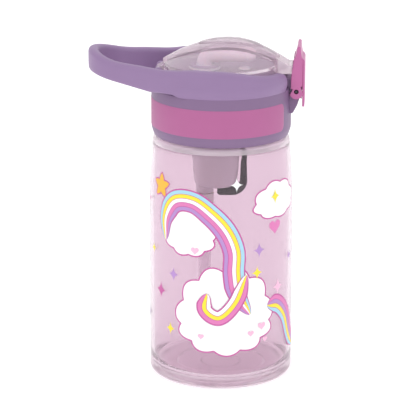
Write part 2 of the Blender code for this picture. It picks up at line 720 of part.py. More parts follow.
# ---- latch ----
def latch():
    plate_in = LATCH_X + LATCH_OUT - PLATE_T
    out = LATCH_X + LATCH_OUT
    low, high = LATCH_Z - LATCH_DOWN, LATCH_Z + LATCH_UP
    cheek_low = LATCH_Z - 3.6
    tab_out = out - 1.8
    shape = [(out, low), (out, high), (tab_out, high + 1.3), (tab_out, LATCH_Z + TAB_UP)]
    shape += [(tab_out - TAB_T, LATCH_Z + TAB_UP), (tab_out - TAB_T, high + 3.4)]
    shape += [(LATCH_X - 1.5, high + 1.0), (LATCH_X - CHEEK_IN, LATCH_Z + 5.7)]
    shape += [(LATCH_X - 2.3, LATCH_Z - 0.8)]
    shape += [(LATCH_X - 1.6, cheek_low + 0.9), (LATCH_X, cheek_low), (LATCH_X + 1.5, cheek_low + 0.4)]
    shape += [(plate_in, cheek_low + 1.0), (plate_in, low)]
    rocker = plate("latch", shape, LATCH_W, PINK)
    bevel(rocker, 0.45, 2, 25.0)
    pocket = [(LATCH_X - 6.0, low - 2.0), (plate_in, low - 2.0), (plate_in, high - 1.6)]
    pocket += [(LATCH_X - 6.0, high - 1.6)]
    cut(rocker, plate("latch_pocket", pocket, POCKET_W, cutter=True))
    tooth_low = LID_FOOT + 2.0
    tooth_in = TONGUE_X + TONGUE_LIP + RUN
    tooth = [(tooth_in, tooth_low), (plate_in + 0.4, tooth_low - 0.8), (plate_in + 0.4, tooth_low + 3.2)]
    tooth += [(tooth_in + 0.4, tooth_low + 2.2)]
    join(rocker, plate("latch_tooth", tooth, TONGUE_W - 1.0, cutter=True))
    at = (LATCH_X, 0.0, LATCH_Z)
    cut(rocker, cylinder("latch_eye", LATCH_PIN_R + PIN_GAP, LATCH_W + 4.0, at, "Y", cutter=True, steps=16))
    return rocker


def latch_spring():
    count = 10 * SPRING_TURNS
    coil = SPRING_LEN - SPRING_WIRE
    points = []
    for i in range(count + 1):
        a = tau * SPRING_TURNS * i / count
        along = spring_back() + SPRING_WIRE / 2 + coil * i / count
        points.append((along, SPRING_R * cos(a), LATCH_Z - SPRING_LOW + SPRING_R * sin(a)))
    return wire("latch_spring", points, [1.0] * len(points), SPRING_WIRE / 2, STEEL)


# ---- spout ----
def spout_base():
    top = KNEE_Z - SPOUT_R - RUN
    low = DECK + GAP
    bore = STEM_R + GAP
    profile = closed([(bore, top), (SPOUT_R - 0.5, top), (SPOUT_R, top - 0.5), (SPOUT_R, low + FOOT_T)]
                     + [(FOOT_R, low + FOOT_T), (FOOT_R, low), (bore, low)])
    return turned("spout_base", profile, SILICONE, x=SPOUT_X, steps=SMALL_STEPS)


def spout_ring():
    low = DECK + GAP + FOOT_T + GAP
    inner = SPOUT_R + GAP
    profile = closed([(inner, low + CLAMP_T - 0.4), (inner + 0.4, low + CLAMP_T)]
                     + [(inner + CLAMP_W, low + CLAMP_T), (inner + CLAMP_W + 0.8, low), (inner, low)])
    return turned("spout_ring", profile, PURPLE, x=SPOUT_X, steps=SMALL_STEPS)


def spout_stem():
    top = KNEE_Z - SPOUT_R - RUN - 0.6
    profile = tube_profile(STEM_R - STEM_WALL, STEM_R, BOSS_LOW, top)
    return turned("spout_stem", profile, CLEAR, x=SPOUT_X, steps=SMALL_STEPS)


def mouthpiece():
    """A ball at the knee that runs out into a flattened lip towards the latch."""
    count, stations = 20, 16
    sections = []
    reach = SPOUT_LEN
    for i in range(stations + 1):
        t = i / stations
        if i < 6:
            a = pi * (0.08 + 0.42 * i / 5)
            along, wide, tall = -SPOUT_R * cos(a), SPOUT_R * sin(a), SPOUT_R * sin(a)
        else:
            s = (i - 5) / (stations - 5)
            along = reach * s
            lip = 1.0 - 0.22 * smooth((s - 0.82) / 0.18)
            wide = (SPOUT_R + (SPOUT_W / 2 - SPOUT_R) * smooth(s)) * lip
            tall = (SPOUT_R + (SPOUT_H / 2 - SPOUT_R) * smooth(1.6 * s)) * lip
        ring = []
        for j in range(count):
            a = tau * j / count
            ring.append((SPOUT_X + along, wide * cos(a), KNEE_Z + tall * sin(a)))
        sections.append(ring)
    made = loft("mouthpiece", sections, "caps", SILICONE)
    at = (SPOUT_X + 0.5 * reach + 1.0, 0.0, KNEE_Z)
    cut(made, cylinder("drink_bore", SPOUT_BORE, reach + 2.0, at, "X", cutter=True, steps=16))
    return made


# ---- parts under the deck ----
def valve_cup():
    low, bottom_r = CUP_FLOOR, CUP_R - CUP_TAPER
    bore = STRAW_R + GAP
    profile = [(CUP_R - CUP_WALL, CUP_RIM), (CUP_R, CUP_RIM), (CUP_R, low + CUP_TAPER_H)]
    profile += [(bottom_r, low + 1.2)]
    profile += [(bottom_r - 1.2, low), (0.0, low)]
    inner = [(0.0, low + CUP_WALL), (bottom_r - CUP_WALL - 1.0, low + CUP_WALL)]
    inner += [(bottom_r - CUP_WALL, low + CUP_WALL + 1.0), (CUP_R - CUP_WALL, low + CUP_TAPER_H)]
    cup = turned("valve_cup", closed(profile + inner), SMOKY, x=CUP_X, steps=40)
    outer = bore + NIPPLE_WALL
    nipple = [(0.0, low + 0.6), (outer, low + 0.6), (outer, low - NIPPLE_LEN), (0.0, low - NIPPLE_LEN)]
    join(cup, turned("cup_nipple", nipple, x=SPOUT_X, steps=SMALL_STEPS, cutter=True))
    at = (SPOUT_X, 0.0, low)
    cut(cup, cylinder("straw_socket", bore, 2 * NIPPLE_LEN + 4.0, at, cutter=True, steps=SMALL_STEPS))
    return cup


def adaptor_o_ring():
    bpy.ops.mesh.primitive_torus_add(
        major_radius=(BOSS_R + GAP - O_RING_R - 0.4) * MM, minor_radius=O_RING_R * MM,
        major_segments=40, minor_segments=8,
    )
    ring = bpy.context.object
    ring.name = "adaptor_o_ring"
    ring.location = (CUP_X * MM, 0.0, (BOSS_LOW + GROOVE_UP) * MM)
    return place(ring, SILICONE)


def straw():
    low, high = FLOOR + STRAW_CLEAR, CUP_FLOOR + CUP_WALL
    return turned("straw", tube_profile(STRAW_R - STRAW_WALL, STRAW_R, low, high), CLEAR, x=SPOUT_X, steps=24)


def straw_sleeve():
    high = CUP_FLOOR - NIPPLE_LEN - GAP
    inner = STRAW_R + GAP
    profile = tube_profile(inner, inner + SLEEVE_T, high - SLEEVE_LEN, high)
    return turned("straw_sleeve", profile, SILICONE, x=SPOUT_X, steps=24)


def vent_tube():
    top = DECK - DECK_T - GAP
    level = CUP_FLOOR - VENT_DROP
    bend = level + VENT_BEND
    points = [(VENT_X, 0.0, top), (VENT_X, 0.0, bend + 10.0), (VENT_X, 0.0, bend + 4.0)]
    points += [(VENT_X - VENT_BEND + x, 0.0, z) for x, z in arc(0.0, bend, VENT_BEND, 0, -90, 6)]
    points += [(VENT_END_X, 0.0, level)]
    thin = VENT_R / VENT_FAT
    radii = [thin, thin, thin + 0.12] + [0.7 + 0.3 * i / 6 for i in range(7)] + [1.0]
    return wire("vent_tube", points, radii, VENT_FAT, CHARCOAL)


def vent_valve():
    low = DECK + GAP
    profile = [(0.0, low + 1.0), (1.2, low + 0.95), (VALVE_R - 0.4, low + 0.6), (VALVE_R, low)]
    profile += [(VALVE_STEM_R, low), (VALVE_STEM_R, DECK - DECK_T + 0.2), (0.0, DECK - DECK_T + 0.2)]
    return turned("vent_valve", profile, SILICONE, x=VENT_X, steps=20)


# ---- build everything ----
bottle_body()
cap_collar()
grip_band()
neck_gasket()
handle_ring()
lid_obj = lid()
latch_obj = latch()
mouth_obj = mouthpiece()
half_block = BARREL_W / 2 + RUN + LUG_W
pin("lid_hinge_pin", HINGE_PIN_R, 2 * half_block - 0.6, HINGE_X, HINGE_Z)
pin("latch_pin", LATCH_PIN_R, LATCH_W - 0.4, LATCH_X, LATCH_Z)
latch_spring()
spout_base()
spout_ring()
spout_stem()
valve_cup()
adaptor_o_ring()
straw()
straw_sleeve()
vent_tube()
vent_valve()


def hang_on_axis(obj, name, at):
    """Parents a moving piece to an empty on its joint's axis."""
    axis = bpy.data.objects.new(name, None)
    axis.location = [c * MM for c in at]
    axis.empty_display_size = 0.01
    PARTS.objects.link(axis)
    bpy.context.view_layer.update()
    obj.parent = axis
    obj.matrix_parent_inverse = axis.matrix_world.inverted()


hang_on_axis(lid_obj, "lid_axis", (HINGE_X, 0.0, HINGE_Z))
hang_on_axis(latch_obj, "latch_axis", (LATCH_X, 0.0, LATCH_Z))
hang_on_axis(mouth_obj, "spout_axis", (SPOUT_X, 0.0, KNEE_Z))
print("kids water bottle:", len([o for o in PARTS.objects if o.type != "EMPTY"]), "pieces")
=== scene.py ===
import json
import bpy
import bmesh
import numpy as np
from mathutils import Matrix, Vector


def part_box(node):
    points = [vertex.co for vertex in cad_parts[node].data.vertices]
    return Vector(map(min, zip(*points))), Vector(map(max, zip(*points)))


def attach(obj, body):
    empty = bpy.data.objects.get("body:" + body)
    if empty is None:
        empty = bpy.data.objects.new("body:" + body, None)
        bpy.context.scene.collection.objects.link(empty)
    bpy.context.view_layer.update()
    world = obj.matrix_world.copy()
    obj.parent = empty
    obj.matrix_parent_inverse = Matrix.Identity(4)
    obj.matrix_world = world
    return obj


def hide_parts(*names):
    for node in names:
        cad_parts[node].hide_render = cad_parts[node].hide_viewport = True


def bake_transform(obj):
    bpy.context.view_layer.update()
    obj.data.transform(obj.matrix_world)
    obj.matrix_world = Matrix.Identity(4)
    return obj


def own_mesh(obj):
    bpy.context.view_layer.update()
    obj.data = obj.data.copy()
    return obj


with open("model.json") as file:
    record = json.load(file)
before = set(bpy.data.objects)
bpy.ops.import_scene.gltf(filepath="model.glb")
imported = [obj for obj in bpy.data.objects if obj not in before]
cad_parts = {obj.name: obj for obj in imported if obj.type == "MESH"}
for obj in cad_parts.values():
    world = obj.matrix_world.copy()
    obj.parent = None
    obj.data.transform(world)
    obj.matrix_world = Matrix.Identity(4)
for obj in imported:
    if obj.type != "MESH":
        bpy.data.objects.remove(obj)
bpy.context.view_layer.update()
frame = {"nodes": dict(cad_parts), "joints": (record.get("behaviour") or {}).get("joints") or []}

# the frame's own levels, in mm
joints = {j["name"]: j for j in frame["joints"]}


def boxMm(node):  # lowest and highest corner of a CAD node
    low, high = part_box(node)
    return np.array(low) * 1000, np.array(high) * 1000


bodyR = boxMm("bottle_body")[1][0]
neckTop = boxMm("bottle_body")[1][2]
hinge = np.array(joints["lid_hinge"]["pos_m"]) * 1000
knee = np.array(joints["spout_fold"]["pos_m"]) * 1000
latchAxis = np.array(joints["latch_pivot"]["pos_m"]) * 1000
rim = boxMm("cap_collar")[0][2]
drop = {"hingeToDeck": 0.8, "deckToStep": 6.1, "rimToShoulder": 0.8}
deck = hinge[2] - drop["hingeToDeck"]
step = deck - drop["deckToStep"]
shoulder = rim - drop["rimToShoulder"]
tau = 2 * np.pi

# camera and light; places in metres
view = {"distance": 1.1116, "rise": 16.13, "turn": 4.0, "lens": 204.4, "aimZ": 0.0859, "aimLeft": 0.0103}
lamps = {"key_softbox": {"place": (-0.45, -0.75, 0.8), "size": (0.7, 0.7), "power": 1.05},
         "fill_softbox": {"place": (0.75, -0.5, 0.45), "size": (0.5, 0.9), "power": 0.3},
         "top_softbox": {"place": (0.0, 0.1, 0.95), "size": (0.8, 0.6), "power": 0.65}}
studio = {"lampAim": (0, 0, 0.08), "white": (1.0, 1.0, 1.0, 1.0), "world": 1.0}


def newObject(name, data):
    made = bpy.data.objects.new(name, data)
    bpy.context.scene.collection.objects.link(made)
    return made


def aimed(name, data, place, ahead):  # a camera or lamp that looks ahead
    made = newObject(name, data)
    made.location = place
    made.rotation_euler = ahead.to_track_quat("-Z", "Y").to_euler()
    return made


def addCamera():
    rise, turn = np.radians([view["rise"], view["turn"]])
    right = Vector((np.cos(turn), np.sin(turn), 0))
    aim = Vector((0, 0, view["aimZ"])) - right * view["aimLeft"]
    back = Vector((np.sin(turn) * np.cos(rise), -np.cos(turn) * np.cos(rise), np.sin(rise)))
    data = bpy.data.cameras.new("camera")
    data.lens = view["lens"]
    bpy.context.scene.camera = aimed("camera", data, aim + back * view["distance"], -back)


def addLamp(name, place, size, power):
    data = bpy.data.lights.new(name, "AREA")
    data.shape = "RECTANGLE"
    data.size, data.size_y = size
    data.energy = power
    aimed(name, data, place, Vector(studio["lampAim"]) - Vector(place))


addCamera()
for lampName, values in lamps.items():
    addLamp(lampName, **values)
world = bpy.data.worlds.new("studio")
world.use_nodes = True
background = world.node_tree.nodes["Background"]
background.inputs["Color"].default_value = studio["white"]
background.inputs["Strength"].default_value = studio["world"]
bpy.context.scene.world = world
bpy.context.scene.view_settings.view_transform = "Standard"
print("camera and light ready")


# materials; depths and scales in mm
finish = {"polypropyleneIor": 1.49, "siliconeIor": 1.41, "pigmentSpread": 0.03, "pigmentMm": 9.0,
          "glossSpread": 0.12, "rippleDeep": 0.4, "shadowTint": 0.3, "bandLineMm": 0.9, "bandLineDeep": 0.08,
          "drawnLineMm": 0.4}


def srgb(code):  # "#rrggbb" to linear colour, by the sRGB standard's own curve
    c = np.array([int(code[i:i + 2], 16) for i in (1, 3, 5)]) / 255
    return tuple(np.where(c <= 0.04045, c / 12.92, ((c + 0.055) / 1.055) ** 2.4))


def addNode(tree, kind, links=None, settings=None):
    # links go from an input's name or index to a value or to another node's output
    made = tree.nodes.new(kind)
    for key, value in (settings or {}).items():
        setattr(made, key, value)
    for key, value in (links or {}).items():
        if isinstance(value, bpy.types.NodeSocket):
            tree.links.new(value, made.inputs[key])
        else:
            made.inputs[key].default_value = value
    return made


def newMaterial(name, colour, roughness, ior=1.5, more=None):
    material = bpy.data.materials.new(name)
    material.use_nodes = True
    tree = material.node_tree
    shader = tree.nodes["Principled BSDF"]
    shader.inputs["Base Color"].default_value = (*srgb(colour), 1)
    shader.inputs["Roughness"].default_value = roughness
    shader.inputs["IOR"].default_value = ior
    for key, value in (more or {}).items():
        shader.inputs[key].default_value = value
    return material, tree, shader


def speckle(tree, sizeMm, detail=2.0):  # noise that changes over this many mm
    place = addNode(tree, "ShaderNodeTexCoord").outputs["Object"]
    return addNode(tree, "ShaderNodeTexNoise",
                   {"Vector": place, "Scale": 1000 / sizeMm, "Detail": detail}).outputs["Fac"]


def emboss(tree, shader, height, strength, deepMm):  # relief on the skin
    bump = addNode(tree, "ShaderNodeBump",
                   {"Height": height, "Strength": strength, "Distance": deepMm / 1000})
    tree.links.new(bump.outputs["Normal"], shader.inputs["Normal"])


def wear(tree, shader, amount, low, high):  # roughness between low and high
    spread = addNode(tree, "ShaderNodeMapRange", {"Value": amount, "To Min": low, "To Max": high})
    tree.links.new(spread.outputs["Result"], shader.inputs["Roughness"])


def mottle(tree, shader, colour, spread, sizeMm):
    # base colour that drifts a little over this many mm, as pigment does
    ramp = addNode(tree, "ShaderNodeMix", {"Factor": speckle(tree, sizeMm, 3.0)}, {"data_type": "RGBA"})
    middle = np.array(srgb(colour))
    ramp.inputs["A"].default_value = (*middle * (1 - spread), 1)
    ramp.inputs["B"].default_value = (*np.minimum(middle * (1 + spread), 1), 1)
    tree.links.new(ramp.outputs["Result"], shader.inputs["Base Color"])


def moulded(name, colour, roughness, grainMm, depthMm):
    # injection moulded polypropylene: even pigment, a satin skin with fine spark-eroded grain. The real grain
    # is about 0.1 mm, too fine to show, so it is drawn coarser
    material, tree, shader = newMaterial(name, colour, roughness, finish["polypropyleneIor"])
    mottle(tree, shader, colour, finish["pigmentSpread"], finish["pigmentMm"])
    grain, spread = speckle(tree, grainMm), finish["glossSpread"] * roughness
    emboss(tree, shader, grain, strength=0.35, deepMm=depthMm)
    wear(tree, shader, grain, roughness - spread, roughness + spread)
    return material


def clearPlastic(name, colour, roughness, ior, rippleMm, milk=0.0):
    # clear moulded plastic: polished, with faint flow ripples; milk is the share of light its haze scatters.
    # Solid copolyester is near 1.57, but its thin curved edges look as pale as this only at a lower IOR.
    # Shadow and diffuse light goes straight through and loses little, so what is inside stays lit
    material, tree, shader = newMaterial(name, colour, roughness, ior, {"Transmission Weight": 1 - milk})
    emboss(tree, shader, speckle(tree, rippleMm, 1.0), strength=0.12, deepMm=finish["rippleDeep"])
    light = addNode(tree, "ShaderNodeLightPath")
    thinned = np.array(srgb(colour)) ** finish["shadowTint"]
    through = addNode(tree, "ShaderNodeBsdfTransparent", {"Color": (*thinned, 1)})
    straight = addNode(tree, "ShaderNodeMath",
                       {0: light.outputs["Is Shadow Ray"], 1: light.outputs["Is Diffuse Ray"]},
                       {"operation": "MAXIMUM"})
    mix = addNode(tree, "ShaderNodeMixShader",
                  {0: straight.outputs[0], 1: shader.outputs[0], 2: through.outputs[0]})
    tree.links.new(mix.outputs[0], tree.nodes["Material Output"].inputs["Surface"])
    return material


def silicone(name, colour, roughness, soft):
    # moulded silicone: dull skin, light soaks about 3 mm in
    material, tree, shader = newMaterial(name, colour, roughness, finish["siliconeIor"],
                                         {"Subsurface Weight": soft, "Subsurface Scale": 0.003})
    mottle(tree, shader, colour, spread=0.02, sizeMm=6.0)
    return material


def softTouch(name, colour):
    # over-moulded elastomer: matt, a trace of sheen, and fine moulded lines round it
    material, tree, shader = newMaterial(name, colour, 0.62, 1.5, {"Sheen Weight": 0.15})
    mottle(tree, shader, colour, finish["pigmentSpread"], sizeMm=7.0)
    place = addNode(tree, "ShaderNodeTexCoord").outputs["Object"]
    scale = 1000 / finish["bandLineMm"] / 20  # a wave texture draws about 20 lines to its scale
    lines = addNode(tree, "ShaderNodeTexWave", {"Vector": place, "Scale": scale, "Distortion": 0.6},
                    {"bands_direction": "Z"})
    emboss(tree, shader, lines.outputs["Fac"], strength=0.25, deepMm=finish["bandLineDeep"])
    return material


def ink(name, colour):
    # screen-printed ink: a thin, even, slightly shiny film with a little pinhole grain
    material, tree, shader = newMaterial(name, colour, 0.38)
    mottle(tree, shader, colour, spread=0.025, sizeMm=1.6)
    return material


def steelWire(name, colour):
    # drawn stainless steel: fine lines from the die; bright, or darkened as painted shade
    material, tree, shader = newMaterial(name, colour, 0.28, 1.5, {"Metallic": 1.0})
    wear(tree, shader, speckle(tree, finish["drawnLineMm"]), low=0.2, high=0.38)
    return material


mats = {
    "wall": clearPlastic("copolyester_pink_tint_moulded", "#e6d6e0", 0.03, 1.4, 18.0, 0.02),
    "hazyWall": clearPlastic("copolyester_pink_tint_hazy", "#efe2ea", 0.08, 1.4, 18.0, 0.4),
    "lidClear": clearPlastic("copolyester_lid_moulded", "#f2e5ed", 0.06, 1.4, 14.0, 0.16),
    "lidSpine": clearPlastic("copolyester_lid_spine_moulded", "#d5c2cf", 0.06, 1.4, 14.0, 0.16),
    "lidThick": clearPlastic("copolyester_lid_thick_moulded", "#f5e9f0", 0.1, 1.4, 14.0, 0.5),
    "straw": clearPlastic("polypropylene_straw_extruded", "#f2ecf1", 0.12, 1.35, 10.0),
    "smoky": clearPlastic("copolyester_smoky_moulded", "#e8e0e7", 0.2, 1.4, 8.0, 0.55),
    "purple": moulded("polypropylene_purple_moulded", "#8e739b", 0.42, 0.5, 0.02),
    # the collar and latch bracket use the ring's purple painted darker: painted shade for the top lighting
    # that leaves them under the ring
    "collar": moulded("polypropylene_purple_collar_moulded", "#7e6387", 0.45, 0.5, 0.02),
    "pink": moulded("polypropylene_pink_moulded", "#bb669b", 0.36, 0.5, 0.015),
    "band": softTouch("elastomer_pink_soft_touch", "#ac5d8f"),
    "silicone": silicone("silicone_milky_moulded", "#eadfe8", 0.42, 0.35),
    # near-black silicone: painted shade for the shadowed right wall and bottom of the cup seen through the
    # wall
    "charcoal": silicone("silicone_charcoal_moulded", "#27212a", 0.5, 0.0),
    "steel": steelWire("stainless_steel_drawn", "#c9c8c6"),
    # the latch pin's steel is painted dark: painted shade for the shadow in the pin's hole
    "darkSteel": steelWire("stainless_steel_oxide_dark", "#4a444c"),
}
print("materials ready:", len(mats))


# from numpy grids to meshes, lengths in mm
def finishMesh(name, points, faces, material, sharp=35.0, close=True):
    # doubles are merged, open ends are filled, faces turned outwards, and edges past sharp degrees kept crisp
    mesh = bpy.data.meshes.new(name)
    mesh.from_pydata((points / 1000).tolist(), [], faces.tolist())
    bm = bmesh.new()
    bm.from_mesh(mesh)
    bmesh.ops.remove_doubles(bm, verts=bm.verts, dist=2e-6)
    bmesh.ops.dissolve_degenerate(bm, edges=bm.edges, dist=1e-7)
    if close:
        bmesh.ops.holes_fill(bm, edges=[e for e in bm.edges if e.is_boundary], sides=0)
    bmesh.ops.triangulate(bm, faces=[f for f in bm.faces if len(f.verts) > 4], ngon_method="EAR_CLIP")
    bmesh.ops.recalc_face_normals(bm, faces=bm.faces)
    bm.to_mesh(mesh)
    bm.free()
    mesh.shade_smooth()
    mesh.set_sharp_from_angle(angle=np.radians(sharp))
    mesh.materials.append(material)
    return newObject(name, mesh)


def gridFaces(rows, cols, wrapRows, wrapCols):  # the four corners of each cell of a grid of points
    i, j = np.meshgrid(np.arange(rows if wrapRows else rows - 1),
                       np.arange(cols if wrapCols else cols - 1), indexing="ij")
    a, b = i.ravel(), j.ravel()
    c, d = (a + 1) % rows, (b + 1) % cols
    return np.stack([a * cols + b, a * cols + d, c * cols + d, c * cols + b], 1)


def surface(name, grid, material, wrapRows=False, wrapCols=False, sharp=35.0, close=True):
    rows, cols = grid.shape[:2]
    faces = gridFaces(rows, cols, wrapRows, wrapCols)
    return finishMesh(name, grid.reshape(-1, 3), faces, material, sharp, close)


def rounded(points, steps=5):
    # corners (a, b, cut): each is replaced by a quadratic curve that starts cut mm before it and ends as far
    # behind it; a corner with no cut stays
    p = np.array([q[:2] for q in points], float)
    cut = np.array([q[2] if len(q) > 2 else 0.0 for q in points])
    out = []
    for i, c in enumerate(cut):
        if c <= 0:
            out.append(p[i][None])
            continue
        before, after = p[i - 1] - p[i], p[(i + 1) % len(p)] - p[i]
        a, b = p[i] + unit(before) * c, p[i] + unit(after) * c
        t = np.linspace(0, 1, steps + 1)[:, None]
        out.append((1 - t) ** 2 * a + 2 * t * (1 - t) * p[i] + t**2 * b)
    return np.vstack(out)


def circle(count):  # angles once round
    return np.arange(count) / count * tau


def unit(v):  # directions of length one
    return v / (np.linalg.norm(v, axis=-1, keepdims=True) + 1e-12)


def outwards(outline, lean):  # across the outline's own directions, to its outside
    area = np.sum(outline[:, 0] * np.roll(outline[:, 1], -1) - np.roll(outline[:, 0], -1) * outline[:, 1])
    return np.sign(area) * np.stack([lean[:, 1], -lean[:, 0]], 1)


def spin(profile, cols=160, x=0.0):  # radius and height carried round a vertical axis at x
    turn = circle(cols)
    r, z = profile[:, :1], profile[:, 1:]
    return np.stack([x + r * np.cos(turn), r * np.sin(turn), z + 0 * turn], 2)


def spun(name, profile, material, cols=160, x=0.0, ring=True, sharp=35.0):
    return surface(name, spin(profile, cols, x), material, ring, True, sharp)


def smooth(t):  # an S from 0 to 1
    t = np.clip(t, 0, 1)
    return t * t * (3 - 2 * t)


def faceMiddles(piece):  # in mm
    middles = np.empty(len(piece.data.polygons) * 3)
    piece.data.polygons.foreach_get("center", middles)
    return middles.reshape(-1, 3) * 1000


def secondMaterial(piece, material, chosen):  # given to the chosen faces
    piece.data.materials.append(material)
    piece.data.polygons.foreach_set("material_index", chosen.astype(np.int32))
    return piece


def settle(piece, body, slot, *nodes):  # its body, its finish (slot, not used) and the CAD nodes it stands for
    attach(piece, body)
    if nodes:
        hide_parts(*nodes)
    return piece


def carried(x, z, nx, nz, wide, tall, turn):
    # an oval section carried along a line in the plane y = 0; (nx, nz) points to the section's own top
    x, z, nx, nz, wide, tall = [q[:, None] for q in (x, z, nx, nz, wide, tall)]
    return np.stack([x + nx * tall * np.cos(turn), wide * np.sin(turn), z + nz * tall * np.cos(turn)], 2)


# the bottle: clear wall, thick floor, shoulder and threaded neck
bottle = {"wall": 1.8, "floor": 4.6, "floorDish": 0.5, "dishR": 12.0, "leanLow": shoulder - 24.6,
          "leanIn": 1.8, "leanRound": 8.0, "baseRound": 3.1, "floorRound": 7.0, "padR": 9.0,
          "recessR": 22.0, "recess": 0.8, "recessRound": 0.4, "shoulderRound": 2.6,
          "insideRound": 4.6, "neckR": 28.5, "neckWall": 2.0, "bead": 1.3, "pitch": 4.6,
          "threadLow": 6.9, "threadStart": 23.0, "threadFade": 0.08, "hazyTop": 2.6, "hazyFoot": 1.6}


def makeBottle():
    # a profile from the floor's middle up the inside, over the neck and down to the base, spun round;
    # on the neck the radius grows by a half-round bead whose height follows the angle
    b = bottle
    topR, inR, under = bodyR - b["leanIn"], bodyR - b["wall"], shoulder - b["wall"]
    neckR, neckIn, soft = b["neckR"], b["neckR"] - b["neckWall"], b["recessRound"]
    inside = rounded([(0, b["floor"]), (b["dishR"], b["floor"] - b["floorDish"]),
                      (inR, b["floor"] - 0.2, b["floorRound"]), (inR, b["leanLow"], b["leanRound"]),
                      (topR - b["wall"], under, b["insideRound"]), (neckIn, under, 1.0),
                      (neckIn, neckTop, 0.5)], 8)
    neck = np.stack([np.full(60, neckR), np.linspace(neckTop - 0.5, shoulder + 1.0, 60)], 1)
    outside = rounded([(neckR - 0.5, neckTop), (neckR, neckTop, 0.3)], 4)
    lower = rounded([(neckR, shoulder + 0.9), (neckR, shoulder, 0.8), (topR, shoulder, b["shoulderRound"]),
                     (bodyR, b["leanLow"], b["leanRound"]), (bodyR, 0, b["baseRound"]),
                     (b["recessR"], 0, soft), (b["recessR"] - 1, b["recess"], soft),
                     (b["padR"] + 1, b["recess"], soft), (b["padR"], 0, soft), (0, 0)], 8)
    grid = spin(np.vstack([inside, outside, neck, lower]), 224)
    first = len(inside) + len(outside)
    rows = slice(first, first + len(neck))
    turn = (np.arange(grid.shape[1]) / grid.shape[1] - b["threadStart"] / 360) % 1
    centre = shoulder + b["threadLow"] + b["pitch"] * turn
    off = grid[rows, :, 2] - centre
    fade = smooth(np.minimum(turn, 1 - turn) / b["threadFade"])
    grow = 1 + np.sqrt(np.clip(b["bead"] ** 2 - off**2, 0, None)) * fade / neckR
    grid[rows, :, 0] *= grow
    grid[rows, :, 1] *= grow
    piece = surface("bottle_shell", grid, mats["wall"], False, True, 40)
    # the neck, the shoulder and the foot are thick, and come out of the mould a little hazier than the wall
    height = faceMiddles(piece)[:, 2]
    hazy = (height > shoulder - b["hazyTop"]) | (height < b["hazyFoot"])
    return secondMaterial(piece, mats["hazyWall"], hazy)


settle(makeBottle(), "bottle", "clear_shell", "bottle_body")
print("bottle ready")

# the print: clouds, rainbow ribbons, hearts and sparkles, wrapped on the wall
inks = {"white": "#f6f8f8", "magenta": "#c2569c", "yellow": "#f6e23a", "gold": "#eeb72f", "sky": "#a5d5e8",
        "lilac": "#b48cc9", "rose": "#dd7bb6", "blush": "#f3bcd8"}
inkMats = {name: ink(f"ink_{name}_screen_printed", colour) for name, colour in inks.items()}
# the ink film's thickness, its lift off the wall and from level to level, the outlines' lap and width, the
# share of a band that its colour fills, and the spacing of a shape's rings
film = {"thick": 0.03, "lift": 0.03, "step": 0.035, "lap": 0.3, "line": 0.55, "fill": 0.86, "ring": 3.0,
        "crisp": 60}


def wallRadius(z):  # the wall leans in from leanLow up to the shoulder
    lean = np.clip((z - bottle["leanLow"]) / (shoulder - bottle["leanLow"]), 0, 1)
    return bodyR - bottle["leanIn"] * lean


def wrap(s, z, level, share):
    # s runs round the wall from the front, towards the latch; share is 1 on the film's face, 0 on its back
    r = wallRadius(z) + film["lift"] + film["step"] * level - film["thick"] * (1 - share)
    turn = s / bodyR + np.radians(view["turn"]) - np.pi / 2
    return np.stack([r * np.cos(turn), r * np.sin(turn), z], -1)


def filmPiece(name, s, z, level, front, colour, ring=False):
    piece = surface(name, wrap(s, z, level, front + 0 * s), inkMats[colour], ring, True, film["crisp"])
    return settle(piece, "bottle", "clear_shell")


def printShape(name, outline, at, colour, level):
    # rings of the outline drawn in to its middle, on the film's face and back again behind it; a wide shape
    # has more of them, so that it stays on the wall's curve
    rings = 4 + int(np.ptp(outline[:, 0]) / film["ring"])
    grow = np.linspace(0, 1, rings)
    share = np.concatenate([grow, grow[::-1]])
    front = np.repeat([1, 0], rings)[:, None]
    s = at[0] + share[:, None] * outline[:, 0]
    z = at[1] + share[:, None] * outline[:, 1]
    return filmPiece(name, s, z, level, front, colour)


def sparkle(size, pinch=0.58, narrow=0.88):
    # four points joined by hollow sides: |x| to the pinch plus |z| to the pinch is one
    t = circle(96)
    r = (np.abs(np.sin(t)) ** pinch + np.abs(np.cos(t)) ** pinch) ** (-1 / pinch)
    return size * np.stack([r * np.sin(t) * narrow, r * np.cos(t)], 1)


def star(size, points=5, dip=0.52, hollow=1.25):
    # the radius falls and climbs between its points, as a power of the way to the nearest point
    t = circle(120)
    side = np.abs((t * points / tau) % 1 - 0.5) * 2
    r = dip + (1 - dip) * side**hollow
    return size * np.stack([r * np.sin(t), r * np.cos(t)], 1)


def heart(size):
    # the classic heart curve: 16 sin cubed across, and a sum of four cosines up
    t = circle(96)
    x = np.sin(t) ** 3
    z = (13 * np.cos(t) - 5 * np.cos(2 * t) - 2 * np.cos(3 * t) - np.cos(4 * t)) / 16
    return size * np.stack([x, z + 0.1], 1)


def cloud(wide, tall, puffs, flat=0.62, swelling=0.13):
    # an oval whose radius swells in puffs, as the size of a sine, with its underside pressed flatter
    t = circle(240)
    swell = 0.94 + swelling * np.abs(np.sin(puffs * t / 2 + 0.6))
    z = np.sin(t) * swell
    z = np.where(z < 0, z * flat, z)
    return np.stack([wide / 2 * np.cos(t) * swell, tall * z], 1)


def grown(outline, by):  # the outline moved out along its own normals
    return outline + by * outwards(outline, unit(np.roll(outline, -1, 0) - np.roll(outline, 1, 0)))


def outlined(name, outline, at, colour, edge, edgeColour, level):
    # the line is a closed strip from outside the shape's edge to just under it
    outer, under = grown(outline, edge), grown(outline, -film["lap"])
    strip = np.stack([outer, under, under, outer]) + np.array(at)
    front = np.repeat([1, 0], 2)[:, None]
    filmPiece(name + "_line", strip[:, :, 0], strip[:, :, 1], level, front, edgeColour, True)
    printShape(name, outline, at, colour, level + 1)


